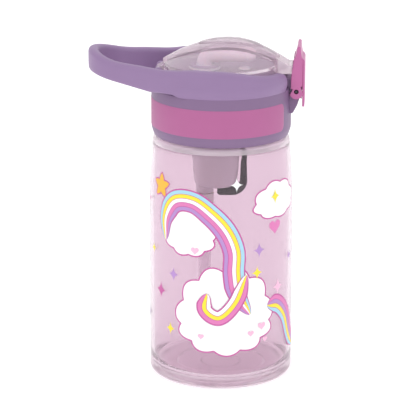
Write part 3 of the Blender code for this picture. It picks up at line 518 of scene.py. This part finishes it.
def ribbon(name, middle, width, offset, colour, level, tip=0.16):
    # a strip of this width along a path, offset sideways from it; it tapers to both ends over the tip's share
    lean = unit(np.gradient(middle, axis=0))
    side = np.stack([-lean[:, 1], lean[:, 0]], 1)
    along = np.linspace(0, 1, len(middle))[:, None]
    taper = np.sqrt(np.clip(np.minimum(along, 1 - along) / tip, 0.02, 1))
    across = np.concatenate([np.linspace(-0.5, 0.5, 5), np.linspace(0.5, -0.5, 3)])
    front = np.repeat([1, 0], [5, 3])
    push = (offset + width * across) * taper
    s = middle[:, :1] + side[:, :1] * push
    z = middle[:, 1:] + side[:, 1:] * push
    return filmPiece(name, s, z, level, front, colour)


def flow(places, count=44):
    # a smooth path through a few places: between two of them, the cubic that leaves and arrives along
    # the line that joins their neighbours
    p = np.array(places, float)
    p = np.vstack([2 * p[0] - p[1], p, 2 * p[-1] - p[-2]])
    t = np.linspace(0, 1, count, endpoint=False)[:, None]
    a, b, c, d = p[:-3, None], p[1:-2, None], p[2:-1, None], p[3:, None]
    curve = 0.5 * (2 * b + (c - a) * t + (2 * a - 5 * b + 4 * c - d) * t**2 + (3 * b - a - 3 * c + d) * t**3)
    return np.vstack([curve.reshape(-1, 2), p[-2]])


def rainbow(name, middle, bands, width, level):
    # fine lines along the edges of the colours first, then one ribbon for each colour side by side on them
    total = width * len(bands)
    for i in range(len(bands) + 1):
        fine = film["line"] * (2 if i in (0, len(bands)) else 1)
        ribbon(f"{name}_line_{i}", middle, fine, width * i - total / 2, "magenta", level)
    for i, colour in enumerate(bands):
        ribbon(f"{name}_{i}", middle, width * film["fill"], width * (i + 0.5) - total / 2, colour, level + 1)


# ribbons: path, colours, width of one, level; clouds: place, width, height, puffs, outline, level;
# hearts and sparkles: place, size, colour. All are in mm round the wall from the front, and up from the floor
printed = {
    "ribbons": [("flowing", [(-30, 73), (-30, 84), (-24, 93), (-14, 94), (-5, 88), (2, 80), (6, 70), (6, 59),
                             (8, 48), (14, 38)], ["lilac", "rose", "white", "yellow", "sky"], 2.0, 6),
                ("curl", [(12, 58), (7, 45), (-1, 37), (-8, 41), (-7, 49)],
                 ["white", "yellow", "rose"], 2.2, 12),
                ("right", [(24, 41), (31, 40), (38, 33), (43, 22), (50, 14)],
                 ["sky", "yellow", "lilac", "rose"], 2.1, 4)],
    "clouds": [("cloud_main", (2.0, 35.0), 48.0, 26.0, 11, 0.7, 0),
               ("cloud_top", (-17.0, 77.0), 27.0, 15.0, 9, 0.75, 2),
               ("cloud_right", (31.0, 91.0), 29.0, 10.5, 8, 0.7, 0)],
    "hearts": [("heart_right", (28.5, 79.5), 3.8, "rose"), ("heart_a", (20.5, 31.0), 2.1, "blush"),
               ("heart_b", (14.5, 28.0), 1.6, "blush"), ("heart_c", (22.5, 24.0), 1.4, "blush"),
               ("heart_d", (-13.0, 70.0), 2.0, "blush"), ("heart_e", (-10.0, 27.0), 1.5, "blush")],
    "sparkles": [((-24.9, 56.5), 3.6, "lilac"), ((-34.0, 46.5), 4.4, "magenta"), ((18.8, 69.7), 3.8, "lilac"),
                 ((17.7, 58.5), 3.4, "yellow"), ((7.2, 103.0), 3.6, "white"), ((-27.0, 28.5), 3.2, "yellow"),
                 ((31.0, 49.0), 4.0, "blush"), ((-46.0, 90.0), 1.8, "magenta"), ((28.6, 94.8), 3.6, "yellow"),
                 ((-41.0, 66.0), 2.6, "yellow"), ((42.0, 62.0), 2.8, "lilac"), ((-52.0, 30.0), 3.0, "lilac")],
    "star": {"at": (-34.0, 99.0), "size": 6.0, "edge": 0.6, "level": 3},
    "topLevel": 9,
}


def makePrint():
    for name, at, wide, tall, puffs, edge, level in printed["clouds"]:
        outlined(name, cloud(wide, tall, puffs), at, "white", edge, "magenta", level)
    for name, places, bands, width, level in printed["ribbons"]:
        rainbow(name, flow(places), bands, width, level)
    for name, at, size, colour in printed["hearts"]:
        printShape(name, heart(size), at, colour, printed["topLevel"])
    for i, (at, size, colour) in enumerate(printed["sparkles"]):
        printShape(f"sparkle_{i}", sparkle(size), at, colour, printed["topLevel"])
    gold = printed["star"]
    outlined("gold_star", star(gold["size"]), gold["at"], "gold", gold["edge"], "magenta", gold["level"])


makePrint()
print("print ready")

# the screw cap's collar with its latch bracket and hinge lugs
collar = {"r": 33.8, "rimIn": 1.2, "chamfer": 3.6, "spigotR": 31.2, "boreR": 30.2, "ledgeR": 26.0,
          "ledge": 2.2, "deck": 2.2}
bracket = {"wide": 13.2, "back": 30.5, "foot": 34.7, "front": 38.2, "bend": 36.9, "low": 11.2,
           "bendDown": 7.0, "frontDown": 2.4, "frontUp": 2.6, "top": 6.0, "topIn": 0.6}
lugs = {"blockHalf": (2.6, 8.9), "blockTop": 2.3, "earR": 2.2, "earWide": 3.4, "earY": 6.8, "sink": 0.8}


def makeCollar():
    # one closed profile: deck, spigot, step, wall, chamfered rim, threaded bore, ledge and deck's underside
    c = collar
    ledge, under = neckTop + c["ledge"], deck - c["deck"]
    outline = rounded([(0, deck), (c["spigotR"], deck, 0.5), (c["spigotR"], step, 0.3), (c["r"], step, 0.6),
                       (c["r"], rim + c["chamfer"], 1.2), (c["r"] - c["rimIn"], rim, 0.7),
                       (c["boreR"], rim, 0.6), (c["boreR"], ledge, 0.3), (c["ledgeR"], ledge, 0.3),
                       (c["ledgeR"], under, 1.2), (0, under)], 6)
    return spun("collar_shell", outline, mats["collar"], 224, ring=False, sharp=50)


def softBlock(name, low, high, material, cut=0.6, count=8):
    # a box with rounded edges: a cube grid pushed to a ball of radius cut, then apart by the box's core
    low, high = np.array(low, float), np.array(high, float)
    core, middle = (high - low) / 2 - cut, (high + low) / 2
    t = np.linspace(-1, 1, count)
    u, v = np.meshgrid(t, t)
    one = np.ones_like(u)
    sides = [(one, u, v), (-one, u, v), (u, one, v), (u, -one, v), (u, v, one), (u, v, -one)]
    cube = np.stack([np.stack([a.ravel(), b.ravel(), c.ravel()], 1) for a, b, c in sides])
    points = middle + np.sign(cube) * core + unit(cube) * cut
    faces = np.vstack([gridFaces(count, count, False, False) + i * count**2 for i in range(6)])
    return finishMesh(name, points.reshape(-1, 3), faces, material, 60)


def slab(name, outline, wide, material, edge=0.5, y=0.0, sharp=30.0):
    # an (x, z) outline carried across y, its edges rounded by drawing the outline in towards both faces
    n = len(outline)
    ahead, behind = np.roll(outline, -1, 0) - outline, outline - np.roll(outline, 1, 0)
    out = outwards(outline, unit(unit(ahead) + unit(behind)))
    turn = np.linspace(0, np.pi / 2, 5)
    inward = np.concatenate([edge * (1 - np.sin(turn)), edge * (1 - np.cos(turn))])
    across = np.concatenate([-wide / 2 + edge * (1 - np.cos(turn)), wide / 2 - edge * (1 - np.sin(turn))])
    flat = outline[None] - out[None] * inward[:, None, None]
    grid = np.stack([flat[:, :, 0], np.repeat((across + y)[:, None], n, 1), flat[:, :, 1]], 2)
    piece = surface(name, grid, material, False, True, sharp)
    piece.modifiers.new("even_shading", "WEIGHTED_NORMAL").keep_sharp = True
    return piece


def makeBracket():
    # the latch's bracket: an outline in the plane of the latch, as wide as fits between its cheeks
    b, x, z = bracket, latchAxis[0], latchAxis[2]
    outline = rounded([(b["back"], z - b["low"]), (b["foot"], z - b["low"], 0.8),
                       (b["bend"], z - b["bendDown"], 0.8), (b["front"], z - b["frontDown"], 1.0),
                       (b["front"], z + b["frontUp"], 1.0), (x - b["topIn"], z + b["top"], 1.0),
                       (b["back"], z + b["top"])], 5)
    return slab("latch_bracket", outline, b["wide"], mats["collar"], 0.5)


def makeLugs():
    # hinge block behind the deck and the two rounded ears that hold the pin
    half, wide = lugs["blockHalf"]
    top = hinge[2] - lugs["blockTop"]
    low, high = (hinge[0] - half, -wide, step - 1.0), (hinge[0] + half, wide, top)
    pieces = [softBlock("hinge_block", low, high, mats["purple"], 0.5)]
    turn = np.linspace(0, np.pi, 17)
    r, foot = lugs["earR"], top - lugs["sink"]
    ear = np.stack([hinge[0] + r * np.cos(turn), hinge[2] + r * np.sin(turn)], 1)
    ear = np.vstack([ear, [[hinge[0] - r, foot], [hinge[0] + r, foot]]])
    for side in (-1, 1):
        ends = side * lugs["earY"]
        pieces.append(slab(f"hinge_ear_{side + 1}", ear, lugs["earWide"], mats["purple"], 0.4, ends, 50))
    return pieces


shell = makeCollar()
settle(shell, "cap", "purple_plastic", "cap_collar")
for extra in [makeBracket(), *makeLugs()]:
    settle(extra, "cap", "purple_plastic")
print("collar ready")

# the soft-touch band let into the collar
band = {"low": 4.8, "tall": 13.7, "end": 25.0, "corner": 2.8, "proud": 0.12, "edge": 0.35, "deep": 1.1}


def makeBand():
    # a shell bent round the collar: its half height shrinks to a quarter circle at both ends, and its
    # section is a flat strip with rounded outer edges
    b = band
    start, r = np.radians(b["end"]), collar["r"]
    last = tau - start
    near = b["corner"] * (1 - np.cos(np.linspace(0, np.pi / 2, 12))) / r
    along = np.linspace(start + near[-1], last - near[-1], 200)[1:-1]
    turn = np.concatenate([start + near, along, last - near[::-1]])
    run = np.minimum(turn - start, last - turn) * r
    short = np.clip(b["corner"] - run, 0, None)
    half = b["tall"] / 2 - (b["corner"] - np.sqrt(np.clip(b["corner"] ** 2 - short**2, 0, None)))
    q = np.linspace(0, np.pi / 2, 5)
    edge, back, face = b["edge"], r - b["deep"], r + b["proud"]
    out = np.concatenate([[back], face - edge + edge * np.sin(q), face - edge + edge * np.cos(q), [back]])
    down = np.concatenate([[0.0], edge * (1 - np.cos(q)), -edge * (1 - np.sin(q)), [0.0]])
    sign = np.repeat([-1, 1], 6)
    middle = rim + b["low"] + b["tall"] / 2
    z = middle + sign * half[:, None] + down
    grid = np.stack([out * np.cos(turn)[:, None], out * np.sin(turn)[:, None], z], 2)
    return surface("grip_band_skin", grid, mats["band"], False, True, 40)


settle(makeBand(), "cap", "soft_touch", "grip_band")

# the ring round the cap's top and the carrying loop
handle = {"r": 35.0, "thick": 6.4, "rise": 12.8, "round": 2.8, "dip": 4.6, "draft": 1.0, "bulge": 3.6,
          "footIn": 1.35, "sink": 0.5, "endR": 20.0, "reach": 64.2, "notch": 12.3, "cutRound": 1.2}
# the carrying loop: its wall, how far it rises to its end, its lift off the collar and swell beside the lid
loop = {"thick": 5.0, "top": 2.4, "foot": 1.9, "rise": 6.0, "climb": 1.8, "lift": 1.5, "swell": 0.9,
        "swellX": 38.0, "swellLong": 9.0, "fall": 20.0}


def racketPath(count):
    # the ring's circle and the loop's end arc joined by their two tangents, walked at even steps
    h = handle
    ringR, endR = h["r"], h["endR"]
    endX = endR - h["reach"]
    lean = np.arcsin((ringR - endR) / -endX)
    leave = np.pi / 2 + lean
    line = -endX * np.cos(lean)
    gap = np.arcsin(h["notch"] / ringR)
    half = (leave - gap) * ringR
    lengths = np.array([half, line, (tau - 2 * leave) * endR, line, half])
    ends = np.concatenate([[0], np.cumsum(lengths)])
    s = np.linspace(0, ends[-1], count)
    part = np.clip(np.searchsorted(ends, s, "right") - 1, 0, 4)
    t = (s - ends[part]) / lengths[part]
    a = np.choose(part, [gap + t * (leave - gap), leave + 0 * t, leave + t * (tau - 2 * leave),
                         tau - leave + 0 * t, tau - leave + t * (leave - gap)])
    ring = np.stack([ringR * np.cos(a), ringR * np.sin(a)], 1)
    end = np.stack([endX + endR * np.cos(a), endR * np.sin(a)], 1)
    where = np.where(((part == 0) | (part == 4))[:, None], ring, end)
    where = np.where((part == 1)[:, None], ring + (end - ring) * t[:, None], where)
    where = np.where((part == 3)[:, None], end + (ring - end) * t[:, None], where)
    return where, a, s


def handleLevels(x):
    # lower and upper edge: flat round the cap with a dip towards the latch, then climbing along the loop
    h = handle
    start = h["r"] - 2
    away = np.clip(-x - start, 0, None) / (h["reach"] - start)
    low = step - h["sink"] + loop["lift"] * smooth((-x - 0.5 * h["r"]) / 5) + loop["rise"] * away
    top = step + h["rise"] - h["dip"] * smooth(x / h["r"]) - smooth((-x - 10) / loop["fall"])
    top = top + loop["rise"] * away ** loop["climb"]
    return low, top + loop["swell"] * np.exp(-((x + loop["swellX"]) / loop["swellLong"]) ** 2)


def makeHandle():
    # a section carried along the racket-shaped path: a thick draughted wall round the cap that thins to a
    # rounded strap along the loop; the first and last sections shrink to round the two cut ends
    h = handle
    where, a, s = racketPath(420)
    low, top = handleLevels(where[:, 0])
    thin = smooth((-where[:, 0] - 0.35 * h["r"]) / 10)[:, None]
    lower = smooth((-where[:, 0] - 0.63 * h["r"]) / 8)[:, None]
    ledge, inner = deck + 0.4, h["r"] - collar["spigotR"] - 0.35
    thick, draft, strap = h["thick"], h["draft"], loop["thick"]
    rings, arms = [], []
    for lo, hi in zip(low, top):
        rings.append(rounded([(h["footIn"], lo, 0.3), (0, lo + h["bulge"], 2.2), (0.35 * draft, lo + 5.5),
                              (draft, hi, h["round"]), (thick, hi, 1.3), (thick, ledge, 0.1),
                              (inner, ledge, 0.1), (inner, lo, 0.2)], 6))
        tall = hi - lo
        arms.append(rounded([(0.1, lo, loop["foot"]), (0.02, lo + 0.3 * tall, 0.1), (0, lo + 0.55 * tall),
                             (0, hi, loop["top"]), (strap, hi, loop["top"]), (strap, lo + 2.5, 0.1),
                             (strap, lo + 1.9, 0.1), (strap, lo, 1.7)], 6))
    rings, arms = np.array(rings), np.array(arms)
    n = rings[:, :, 0] + (arms[:, :, 0] - rings[:, :, 0]) * thin
    z = rings[:, :, 1] + (arms[:, :, 1] - rings[:, :, 1]) * lower
    end = np.clip(np.minimum(s, s[-1] - s) / h["cutRound"], 0, 1)
    shrink = (0.75 + 0.25 * np.sqrt(1 - (1 - end) ** 2))[:, None]
    midN, midZ = n.mean(1, keepdims=True), z.mean(1, keepdims=True)
    n, z = midN + (n - midN) * shrink, midZ + (z - midZ) * shrink
    grid = np.stack([where[:, :1] - n * np.cos(a)[:, None], where[:, 1:] - n * np.sin(a)[:, None], z], 2)
    return surface("carry_handle", grid, mats["purple"], False, True, 50)


settle(makeHandle(), "cap", "purple_plastic", "handle_ring")
print("handle ready")

# the clear flip-up lid
lid = {"r": 28.2, "rise": 15.8, "crownX": 3.6, "front": 0.0125, "back": 0.0096, "edge": 5.6, "wall": 1.8,
       "flank": 1.8, "spine": 22.0, "spineEnd": 9.0, "sag": 1.5, "stand": 1.3, "pad": (32.0, 13.0),
       "padStand": 0.6, "foot": 0.4, "hem": 0.25, "skin": 1.2}
tongue = {"x": 34.6, "wide": 13.2, "shoulder": 5.0, "low": 0.5, "lip": 0.7, "lipUp": 1.5}
barrel = {"r": 1.9, "wide": 8.8, "from": 0.6, "to": 1.85, "webX": 4.0, "webUp": 1.2, "topX": 4.6,
          "topUp": 5.2}
# room in the dome for the hinge ears: how far ahead of the pin, between which sides, and how high
earRoom = {"ahead": 5.0, "from": 4.7, "to": 9.0, "up": 4.4}


def crown(x):  # height of the spine: a parabola, steeper towards the latch
    steep = np.where(x > lid["crownX"], lid["front"], lid["back"])
    return deck + lid["rise"] - steep * (x - lid["crownX"]) ** 2


def spineHalf(x):  # half the spine's width: full at the crown, narrowing as a power of the way to each end
    along = np.minimum(np.abs(x - lid["crownX"]) / (abs(hinge[0]) + 1.5), 1)
    end = np.where(x < 0, lid["spineEnd"] / 2, tongue["wide"] / 2 - 0.3)
    return end + (lid["spine"] / 2 - end) * (1 - along**2.2)


def flankHeight(x, y, edge, drop):  # falls from below the spine to the skirt with a power of the way out
    peak, low = crown(x) - lid["stand"] - drop, deck + lid["edge"] - drop
    return peak - (peak - low) * np.clip(np.abs(y) / np.maximum(edge, 0.01), 0, 1) ** lid["flank"]


def makeLid():
    # cross sections along x, each a loop: flank, spine, flank, skirt and the plain underside. The spine's
    # columns follow its edge, so that its step is crisp, and an oval pad stands up on it
    r, inner, foot = lid["r"], lid["r"] - lid["wall"], deck + lid["foot"]
    x = r * np.sin(np.linspace(-np.pi / 2, np.pi / 2, 221))
    wallX = [-inner - 0.01, 0.01 - inner, inner - 0.01, inner + 0.01]  # both sides of the hollow's two ends
    x = np.sort(np.concatenate([x, wallX]))[:, None]
    edge = np.sqrt(np.clip(r**2 - x**2, 0.2, None))
    hollow = np.sqrt(np.clip(inner**2 - x**2, 0, None))
    half = np.minimum(spineHalf(x), 0.97 * edge)
    soft = np.minimum(0.12, 0.02 * edge)
    out = half + soft + (edge - half - soft) * np.linspace(0, 1, 30)
    y = (half - soft) * np.linspace(-1, 1, 91)
    long, wide = lid["pad"]
    oval = ((x - lid["crownX"] - 1) / long * 2) ** 2 + (y / wide * 2) ** 2
    spine = crown(x) - lid["sag"] * (np.abs(y) / half) ** 2 + lid["padStand"] * smooth((1 - oval) / 0.14)
    flank = flankHeight(x, out, edge, 0.0)
    under = hollow * np.concatenate([[1.0], np.linspace(1, -1, 41), [-1.0]])
    roof = np.where(np.abs(x) < inner, flankHeight(x, under, hollow, lid["wall"]), foot + 0 * under)
    roof[:, [0, -1]] = foot
    skirt = [edge, edge - lid["hem"]]
    lift = [foot + 0.3 + 0 * x, foot + 0 * x]
    across = np.hstack([-out[:, ::-1], y, out, *skirt, under, *[-q for q in skirt[::-1]]])
    up = np.hstack([flank[:, ::-1], spine, flank, *lift, roof, *lift[::-1]])
    aside = np.abs(across)
    room = (x < hinge[0] + earRoom["ahead"]) & (aside > earRoom["from"]) & (aside < earRoom["to"])
    up = np.where(room, np.maximum(up, deck + earRoom["up"]), up)
    grid = np.stack([x + 0 * across, across, up], 2)
    piece = surface("lid_dome", grid, mats["lidClear"], False, True, 28)
    # the spine is thicker, so it looks a little smokier
    middle = faceMiddles(piece)
    onSpine = np.abs(middle[:, 1]) < spineHalf(middle[:, 0])
    onSpine &= middle[:, 2] > crown(middle[:, 0]) - lid["stand"] - lid["skin"]
    return secondMaterial(piece, mats["lidSpine"], onSpine)


def makeTongue():
    # the lid's front tongue with its catch lip, an outline carried across
    r, nose, low = lid["r"] - 2.0, tongue["x"], deck + tongue["low"]
    lip = nose + tongue["lip"]
    outline = rounded([(r, float(crown(r)) - 0.7), (nose - 1.6, float(crown(nose - 1.6)) - 0.4, 1.0),
                       (nose, deck + tongue["shoulder"], 0.8), (nose, low + tongue["lipUp"], 0.3),
                       (lip, low + tongue["lipUp"] - 0.4, 0.3), (lip, low, 0.3), (r, low)], 5)
    return slab("lid_tongue", outline, tongue["wide"], mats["lidThick"], 0.7)


def makeBarrel():
    # the hinge barrel, most of a circle, with the web that joins it to the dome
    b = barrel
    turn = np.linspace(np.pi * b["from"], np.pi * b["to"], 16)
    x, z = hinge[0] + b["r"] * np.cos(turn), hinge[2] + b["r"] * np.sin(turn)
    web = [[hinge[0] + b["webX"], deck + b["webUp"]], [hinge[0] + b["topX"], deck + b["topUp"]]]
    outline = np.vstack([np.stack([x, z], 1), web])
    return slab("lid_barrel", outline, b["wide"], mats["lidThick"], 0.4, sharp=50)


settle(makeLid(), "lid", "clear_lid", "lid")
settle(makeTongue(), "lid", "clear_lid")
settle(makeBarrel(), "lid", "clear_lid")
print("lid ready")

# the latch and its spring
latch = {"wide": 18.0, "cheek": 2.0, "out": 3.9, "plate": 1.1, "up": 15.2, "down": 7.4, "tabUp": 22.1,
         "tabIn": 1.8, "bore": 1.15, "bossR": 3.35, "toothX": 36.0, "toothWide": 12.0}
spring = {"wire": 0.4, "turns": 4, "flatTurn": 0.2, "flatPitch": 0.25, "keep": 0.68}


def drill(piece, x, z, radius):  # a round hole across the piece along y
    bm = bmesh.new()
    r = radius / 1000
    bmesh.ops.create_cone(bm, cap_ends=True, segments=32, radius1=r, radius2=r, depth=0.06)
    bmesh.ops.rotate(bm, verts=bm.verts, matrix=Matrix.Rotation(np.pi / 2, 3, "X"))
    bmesh.ops.translate(bm, verts=bm.verts, vec=(x / 1000, 0, z / 1000))
    mesh = bpy.data.meshes.new("drill")
    bm.to_mesh(mesh)
    bm.free()
    tool = newObject("drill", mesh)
    cut = piece.modifiers.new("hole", "BOOLEAN")
    cut.operation, cut.solver, cut.object = "DIFFERENCE", "EXACT", tool
    piece.modifiers.move(len(piece.modifiers) - 1, 0)
    ready = piece.evaluated_get(bpy.context.evaluated_depsgraph_get())
    drilled = bpy.data.meshes.new_from_object(ready)
    piece.modifiers.clear()
    piece.data = drilled
    bpy.data.objects.remove(tool, do_unlink=True)
    return piece


def makeLatch():
    # two cheeks round the pin, a finger plate set in between them, its tab and the tooth: each an outline
    # carried across its own width. Heights are from the pin, z, or from the plate's top; x is the pin's
    x, z = latchAxis[0], latchAxis[2]
    out, inn = x + latch["out"], x + latch["out"] - latch["plate"]
    top, low, tabTop = z + latch["up"], z - latch["down"], z + latch["tabUp"]
    tab, wide, r = out - latch["tabIn"], latch["wide"] - 0.1, latch["bossR"]
    under = np.radians(np.linspace(200, 345, 14))
    boss = np.stack([x + (r - 0.05) * np.cos(under), z - 0.3 + (r + 0.05) * np.sin(under)], 1)
    side = rounded([(inn, z + 2.5, 0.8), (inn + 0.1, top - 0.3, 1.2), (tab + 0.2, top + 1.6, 0.9),
                    (x - 1.3, top + 1.2, 1.0), (x - 2.7, z + 5.7, 3.0), (x - 2.6, z + 1.0, 1.0)], 6)
    plate = rounded([(inn, low, 0.4), (out, low, 0.4), (out, top, 0.9), (tab + 0.4, top + 1.4, 0.6),
                     (x - 1.0, top + 0.8, 0.5), (x - 1.0, top - 1.4, 0.4), (inn, top - 1.6, 0.4)], 6)
    finger = rounded([(tab - 0.2, tabTop, 0.7), (tab - 1.7, tabTop, 0.7), (tab - 2.3, top + 3.2, 1.2),
                      (x - 1.0, top + 0.8, 0.4), (tab + 0.6, top + 0.8, 0.4), (tab + 0.1, top + 3.0, 1.0)], 6)
    tip = latch["toothX"]
    tooth = rounded([(tip, deck + 2.5, 0.3), (inn + 0.4, deck + 1.7), (inn + 0.4, deck + 5.7),
                     (tip + 0.2, deck + 4.7, 0.4)], 4)
    pink, cheek, place = mats["pink"], np.vstack([boss, side]), (wide - latch["cheek"]) / 2
    cheeks = [slab(f"latch_cheek_{i}", cheek, latch["cheek"], pink, 0.3, y, 40)
              for i, y in enumerate((-place, place))]
    pieces = [drill(piece, x, z, latch["bore"]) for piece in cheeks]
    pieces.append(slab("latch_plate", plate, wide - 1.6, pink, 0.3, 0.0, 40))
    pieces.append(slab("latch_tab", finger, wide - 0.1, pink, 0.4, 0.0, 40))
    pieces.append(slab("latch_tooth", tooth, latch["toothWide"], pink, 0.3))
    return pieces


def makeSpring():
    # a round wire carried along a helix that lies behind the plate; its end turns close up flat
    low, high = boxMm("latch_spring")
    wire = spring["wire"] / 2
    t = np.linspace(0, 1, 40 * spring["turns"] + 1)
    edge = smooth(t / spring["flatTurn"]) * smooth((1 - t) / spring["flatTurn"])
    flat = spring["flatPitch"]
    pitch = np.concatenate([[0], np.cumsum(flat + (1 - flat) * edge[1:])])
    along = low[0] + wire + (high[0] - low[0] - 2 * wire) * pitch / pitch[-1]
    coil = (high[2] - low[2]) / 2 - wire
    middle = (high[2] + low[2]) / 2
    turn = tau * spring["turns"] * t
    out = np.stack([0 * t, np.cos(turn), np.sin(turn)], 1)
    q = circle(12)[:, None]
    centre = np.stack([along, coil * out[:, 1], middle + coil * out[:, 2]], 1)
    ahead = np.array([1.0, 0.0, 0.0])
    grid = centre[:, None] + wire * (np.cos(q) * out[:, None] + np.sin(q) * ahead)
    return surface("latch_coil", grid, mats["steel"], False, True, 60)


coil = settle(makeSpring(), "cap", "steel", "latch_spring")
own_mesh(coil)
latchPieces = makeLatch()
settle(latchPieces[2], "latch", "pink_plastic", "latch")
for extra in latchPieces[:2] + latchPieces[3:]:
    settle(extra, "latch", "pink_plastic")
print("latch ready")

# the folding spout
spout = {"r": 3.7, "reach": 24.0, "wide": 10.5, "tall": 6.8, "bore": 1.8, "boreDeep": 6.0, "bend": 4.2,
         "low": 1.4, "lipThin": 0.25, "lipFrom": 0.86, "bead": 0.06, "beadAt": 0.8}
# how far from the knee the soft bend starts and ends, and its foot: bore, neck, flange and its heights
spoutFoot = {"bore": 3.1, "r": 4.2, "flange": 7.6, "low": 0.35, "high": 1.35, "below": 4.7}


def makeSpout():
    # an oval section carried up from the foot, over the knee and out to a flattened lip, then back down a
    # bore; the section grows from round to its full width and height on the way out
    r, bent, reach = spout["r"], spout["bend"], spout["reach"]
    up = np.linspace(deck + spout["low"], knee[2] - bent, 8)
    bend = np.linspace(0, np.pi / 2, 18)
    out = np.linspace(0, 1, 40)
    x = np.concatenate([0 * up, bent - bent * np.cos(bend), bent + out * (reach - bent)]) + knee[0]
    z = np.concatenate([up, knee[2] - bent + bent * np.sin(bend), knee[2] + 0 * out])
    lean = np.concatenate([0 * up, bend, np.pi / 2 + 0 * out])
    along = np.concatenate([0 * up, 0 * bend, out])
    thinner = spout["lipThin"] * smooth((along - spout["lipFrom"]) / (1 - spout["lipFrom"]))
    lip = 1 - thinner + spout["bead"] * np.exp(-((along - spout["beadAt"]) / 0.05) ** 2)
    wide = (r + (spout["wide"] / 2 - r) * smooth(along)) * lip
    tall = (r + (spout["tall"] / 2 - r) * smooth(1.6 * along)) * lip
    turn = circle(48)
    skin = carried(x, z, -np.cos(lean), np.sin(lean), wide, tall, turn)
    depth = np.linspace(0, spout["boreDeep"], 8)
    bore = spout["bore"] + 0 * depth
    mouth = carried(knee[0] + reach - depth, knee[2] + 0 * depth, 0 * depth, 1 + 0 * depth, bore, bore, turn)
    return surface("spout_skin", np.concatenate([skin, mouth]), mats["silicone"], False, True, 50)


def makeSpoutFoot():
    f = spoutFoot
    low, high, top = deck + f["low"], deck + f["high"], knee[2] - f["below"]
    outline = rounded([(f["bore"], low), (f["flange"], low, 0.3), (f["flange"], high, 0.3),
                       (f["r"], high, 0.5), (f["r"] - 0.2, top, 0.3), (f["bore"], top)], 4)
    return spun("spout_foot", outline, mats["silicone"], 64, knee[0])


spoutSkin = makeSpout()
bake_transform(spoutSkin)
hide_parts("mouthpiece")
settle(makeSpoutFoot(), "cap", "silicone", "spout_base")
print("spout ready")

# cup, tube and straw under the deck
inner = {"cupX": -2.6, "cupR": 11.2, "cupWall": 1.2, "nippleR": 4.2, "nippleBore": 3.4, "nipple": 4.0,
         "strawR": 3.0, "strawBore": 2.3}
vent = {"x": 11.0, "up": 2.5, "bend": 5.5, "r": 1.2, "kneeR": 1.75, "hookR": 2.5, "endR": 1.8}


def makeCup():
    # a tapered cup, spun; its nipple is spun about the straw's own axis
    box = boxMm("valve_cup")
    low, high = box[0][2] + inner["nipple"], box[1][2]
    r, w = inner["cupR"], inner["cupWall"]
    outline = rounded([(r - w, high, 0.3), (r, high, 0.3), (r, low + 8, 2), (r - 0.9, low + 1.2, 0.2),
                       (r - 2.1, low, 0.8), (0, low)], 5)
    inside = rounded([(0, low + w), (r - w - 1.6, low + w, 0.8), (r - w - 0.9, low + w + 1.2, 0.3),
                      (r - w, low + 8, 2)], 5)
    cup = spun("valve_cup_shell", np.vstack([outline, inside]), mats["smoky"], 96, inner["cupX"], True)
    bore, r, top, end = inner["nippleBore"], inner["nippleR"], low - 0.1, low - inner["nipple"]
    tube = rounded([(bore, top, 0.2), (r, top, 0.2), (r, end, 0.3), (bore, end, 0.3)], 4)
    return cup, spun("cup_nipple", tube, mats["smoky"], 48, knee[0])


def makeVentTube():
    # a round section carried down, round a quarter bend and along, growing towards its hooked end
    low, high = boxMm("vent_tube")
    bend = vent["bend"]
    level, side = low[2] + vent["up"], vent["x"] - bend
    q = np.linspace(0, -np.pi / 2, 14)
    x = np.concatenate([np.full(14, vent["x"]), side + bend * np.cos(q[1:]),
                        np.linspace(side, low[0] + 1.0, 10)[1:]])
    z = np.concatenate([np.linspace(high[2], level + bend, 14), level + bend + bend * np.sin(q[1:]),
                        np.full(9, level)])
    lean = np.concatenate([np.full(14, 0.0), -q[1:], np.full(9, np.pi / 2)])
    r, kneeR, hookR = vent["r"], vent["kneeR"], vent["hookR"]
    fat = np.interp(np.arange(36), [8, 9, 13, 14, 26, 34, 35],
                    [r, r + 0.05, kneeR, kneeR + 0.05, hookR, hookR, vent["endR"]])
    turn = circle(28)
    grid = carried(x, z, np.cos(lean), -np.sin(lean), fat, fat, turn)
    # coloured near black as painted shade: the cup's shadowed edge and bottom seen through the wall
    return surface("vent_hook", grid, mats["charcoal"], False, True, 50)


def makeStraw():
    low, high = boxMm("straw")
    bore, r = inner["strawBore"], inner["strawR"]
    outline = rounded([(bore, high[2], 0.2), (r, high[2], 0.2), (r, low[2], 0.2), (bore, low[2], 0.2)], 3)
    return spun("straw_tube", outline, mats["straw"], 48, knee[0])


cup, nipple = makeCup()
settle(cup, "cap", "smoky_plastic", "valve_cup")
settle(nipple, "cap", "smoky_plastic")
settle(makeVentTube(), "cap", "charcoal_silicone", "vent_tube")
settle(makeStraw(), "cap", "clear_lid", "straw")
# the small pieces that stay as the frame has them get their materials
# the latch pin gets the steel that is painted dark as the shade in its hole
kept = {"neck_gasket": "silicone", "lid_hinge_pin": "steel", "latch_pin": "darkSteel",
        "spout_ring": "purple", "spout_stem": "lidClear", "adaptor_o_ring": "silicone",
        "straw_sleeve": "silicone", "vent_valve": "silicone"}
for name, key in kept.items():
    frame["nodes"][name].data.materials.clear()
    frame["nodes"][name].data.materials.append(mats[key])
print("inner parts ready")

# the table it stands on is lit from below as well
table = {"half": 3000, "below": 0.05, "glow": 0.22}
glowing, _, glowShader = newMaterial("acrylic_table_lit_from_below", "#fbfafb", 0.7)
glowShader.inputs["Emission Color"].default_value = (1.0, 1.0, 1.0, 1.0)
glowShader.inputs["Emission Strength"].default_value = table["glow"]
side = np.linspace(-table["half"], table["half"], 3)
floorGrid = np.stack([*np.meshgrid(side, side), np.full((3, 3), -table["below"])], 2)
floor = surface("floor", floorGrid, glowing, close=False)
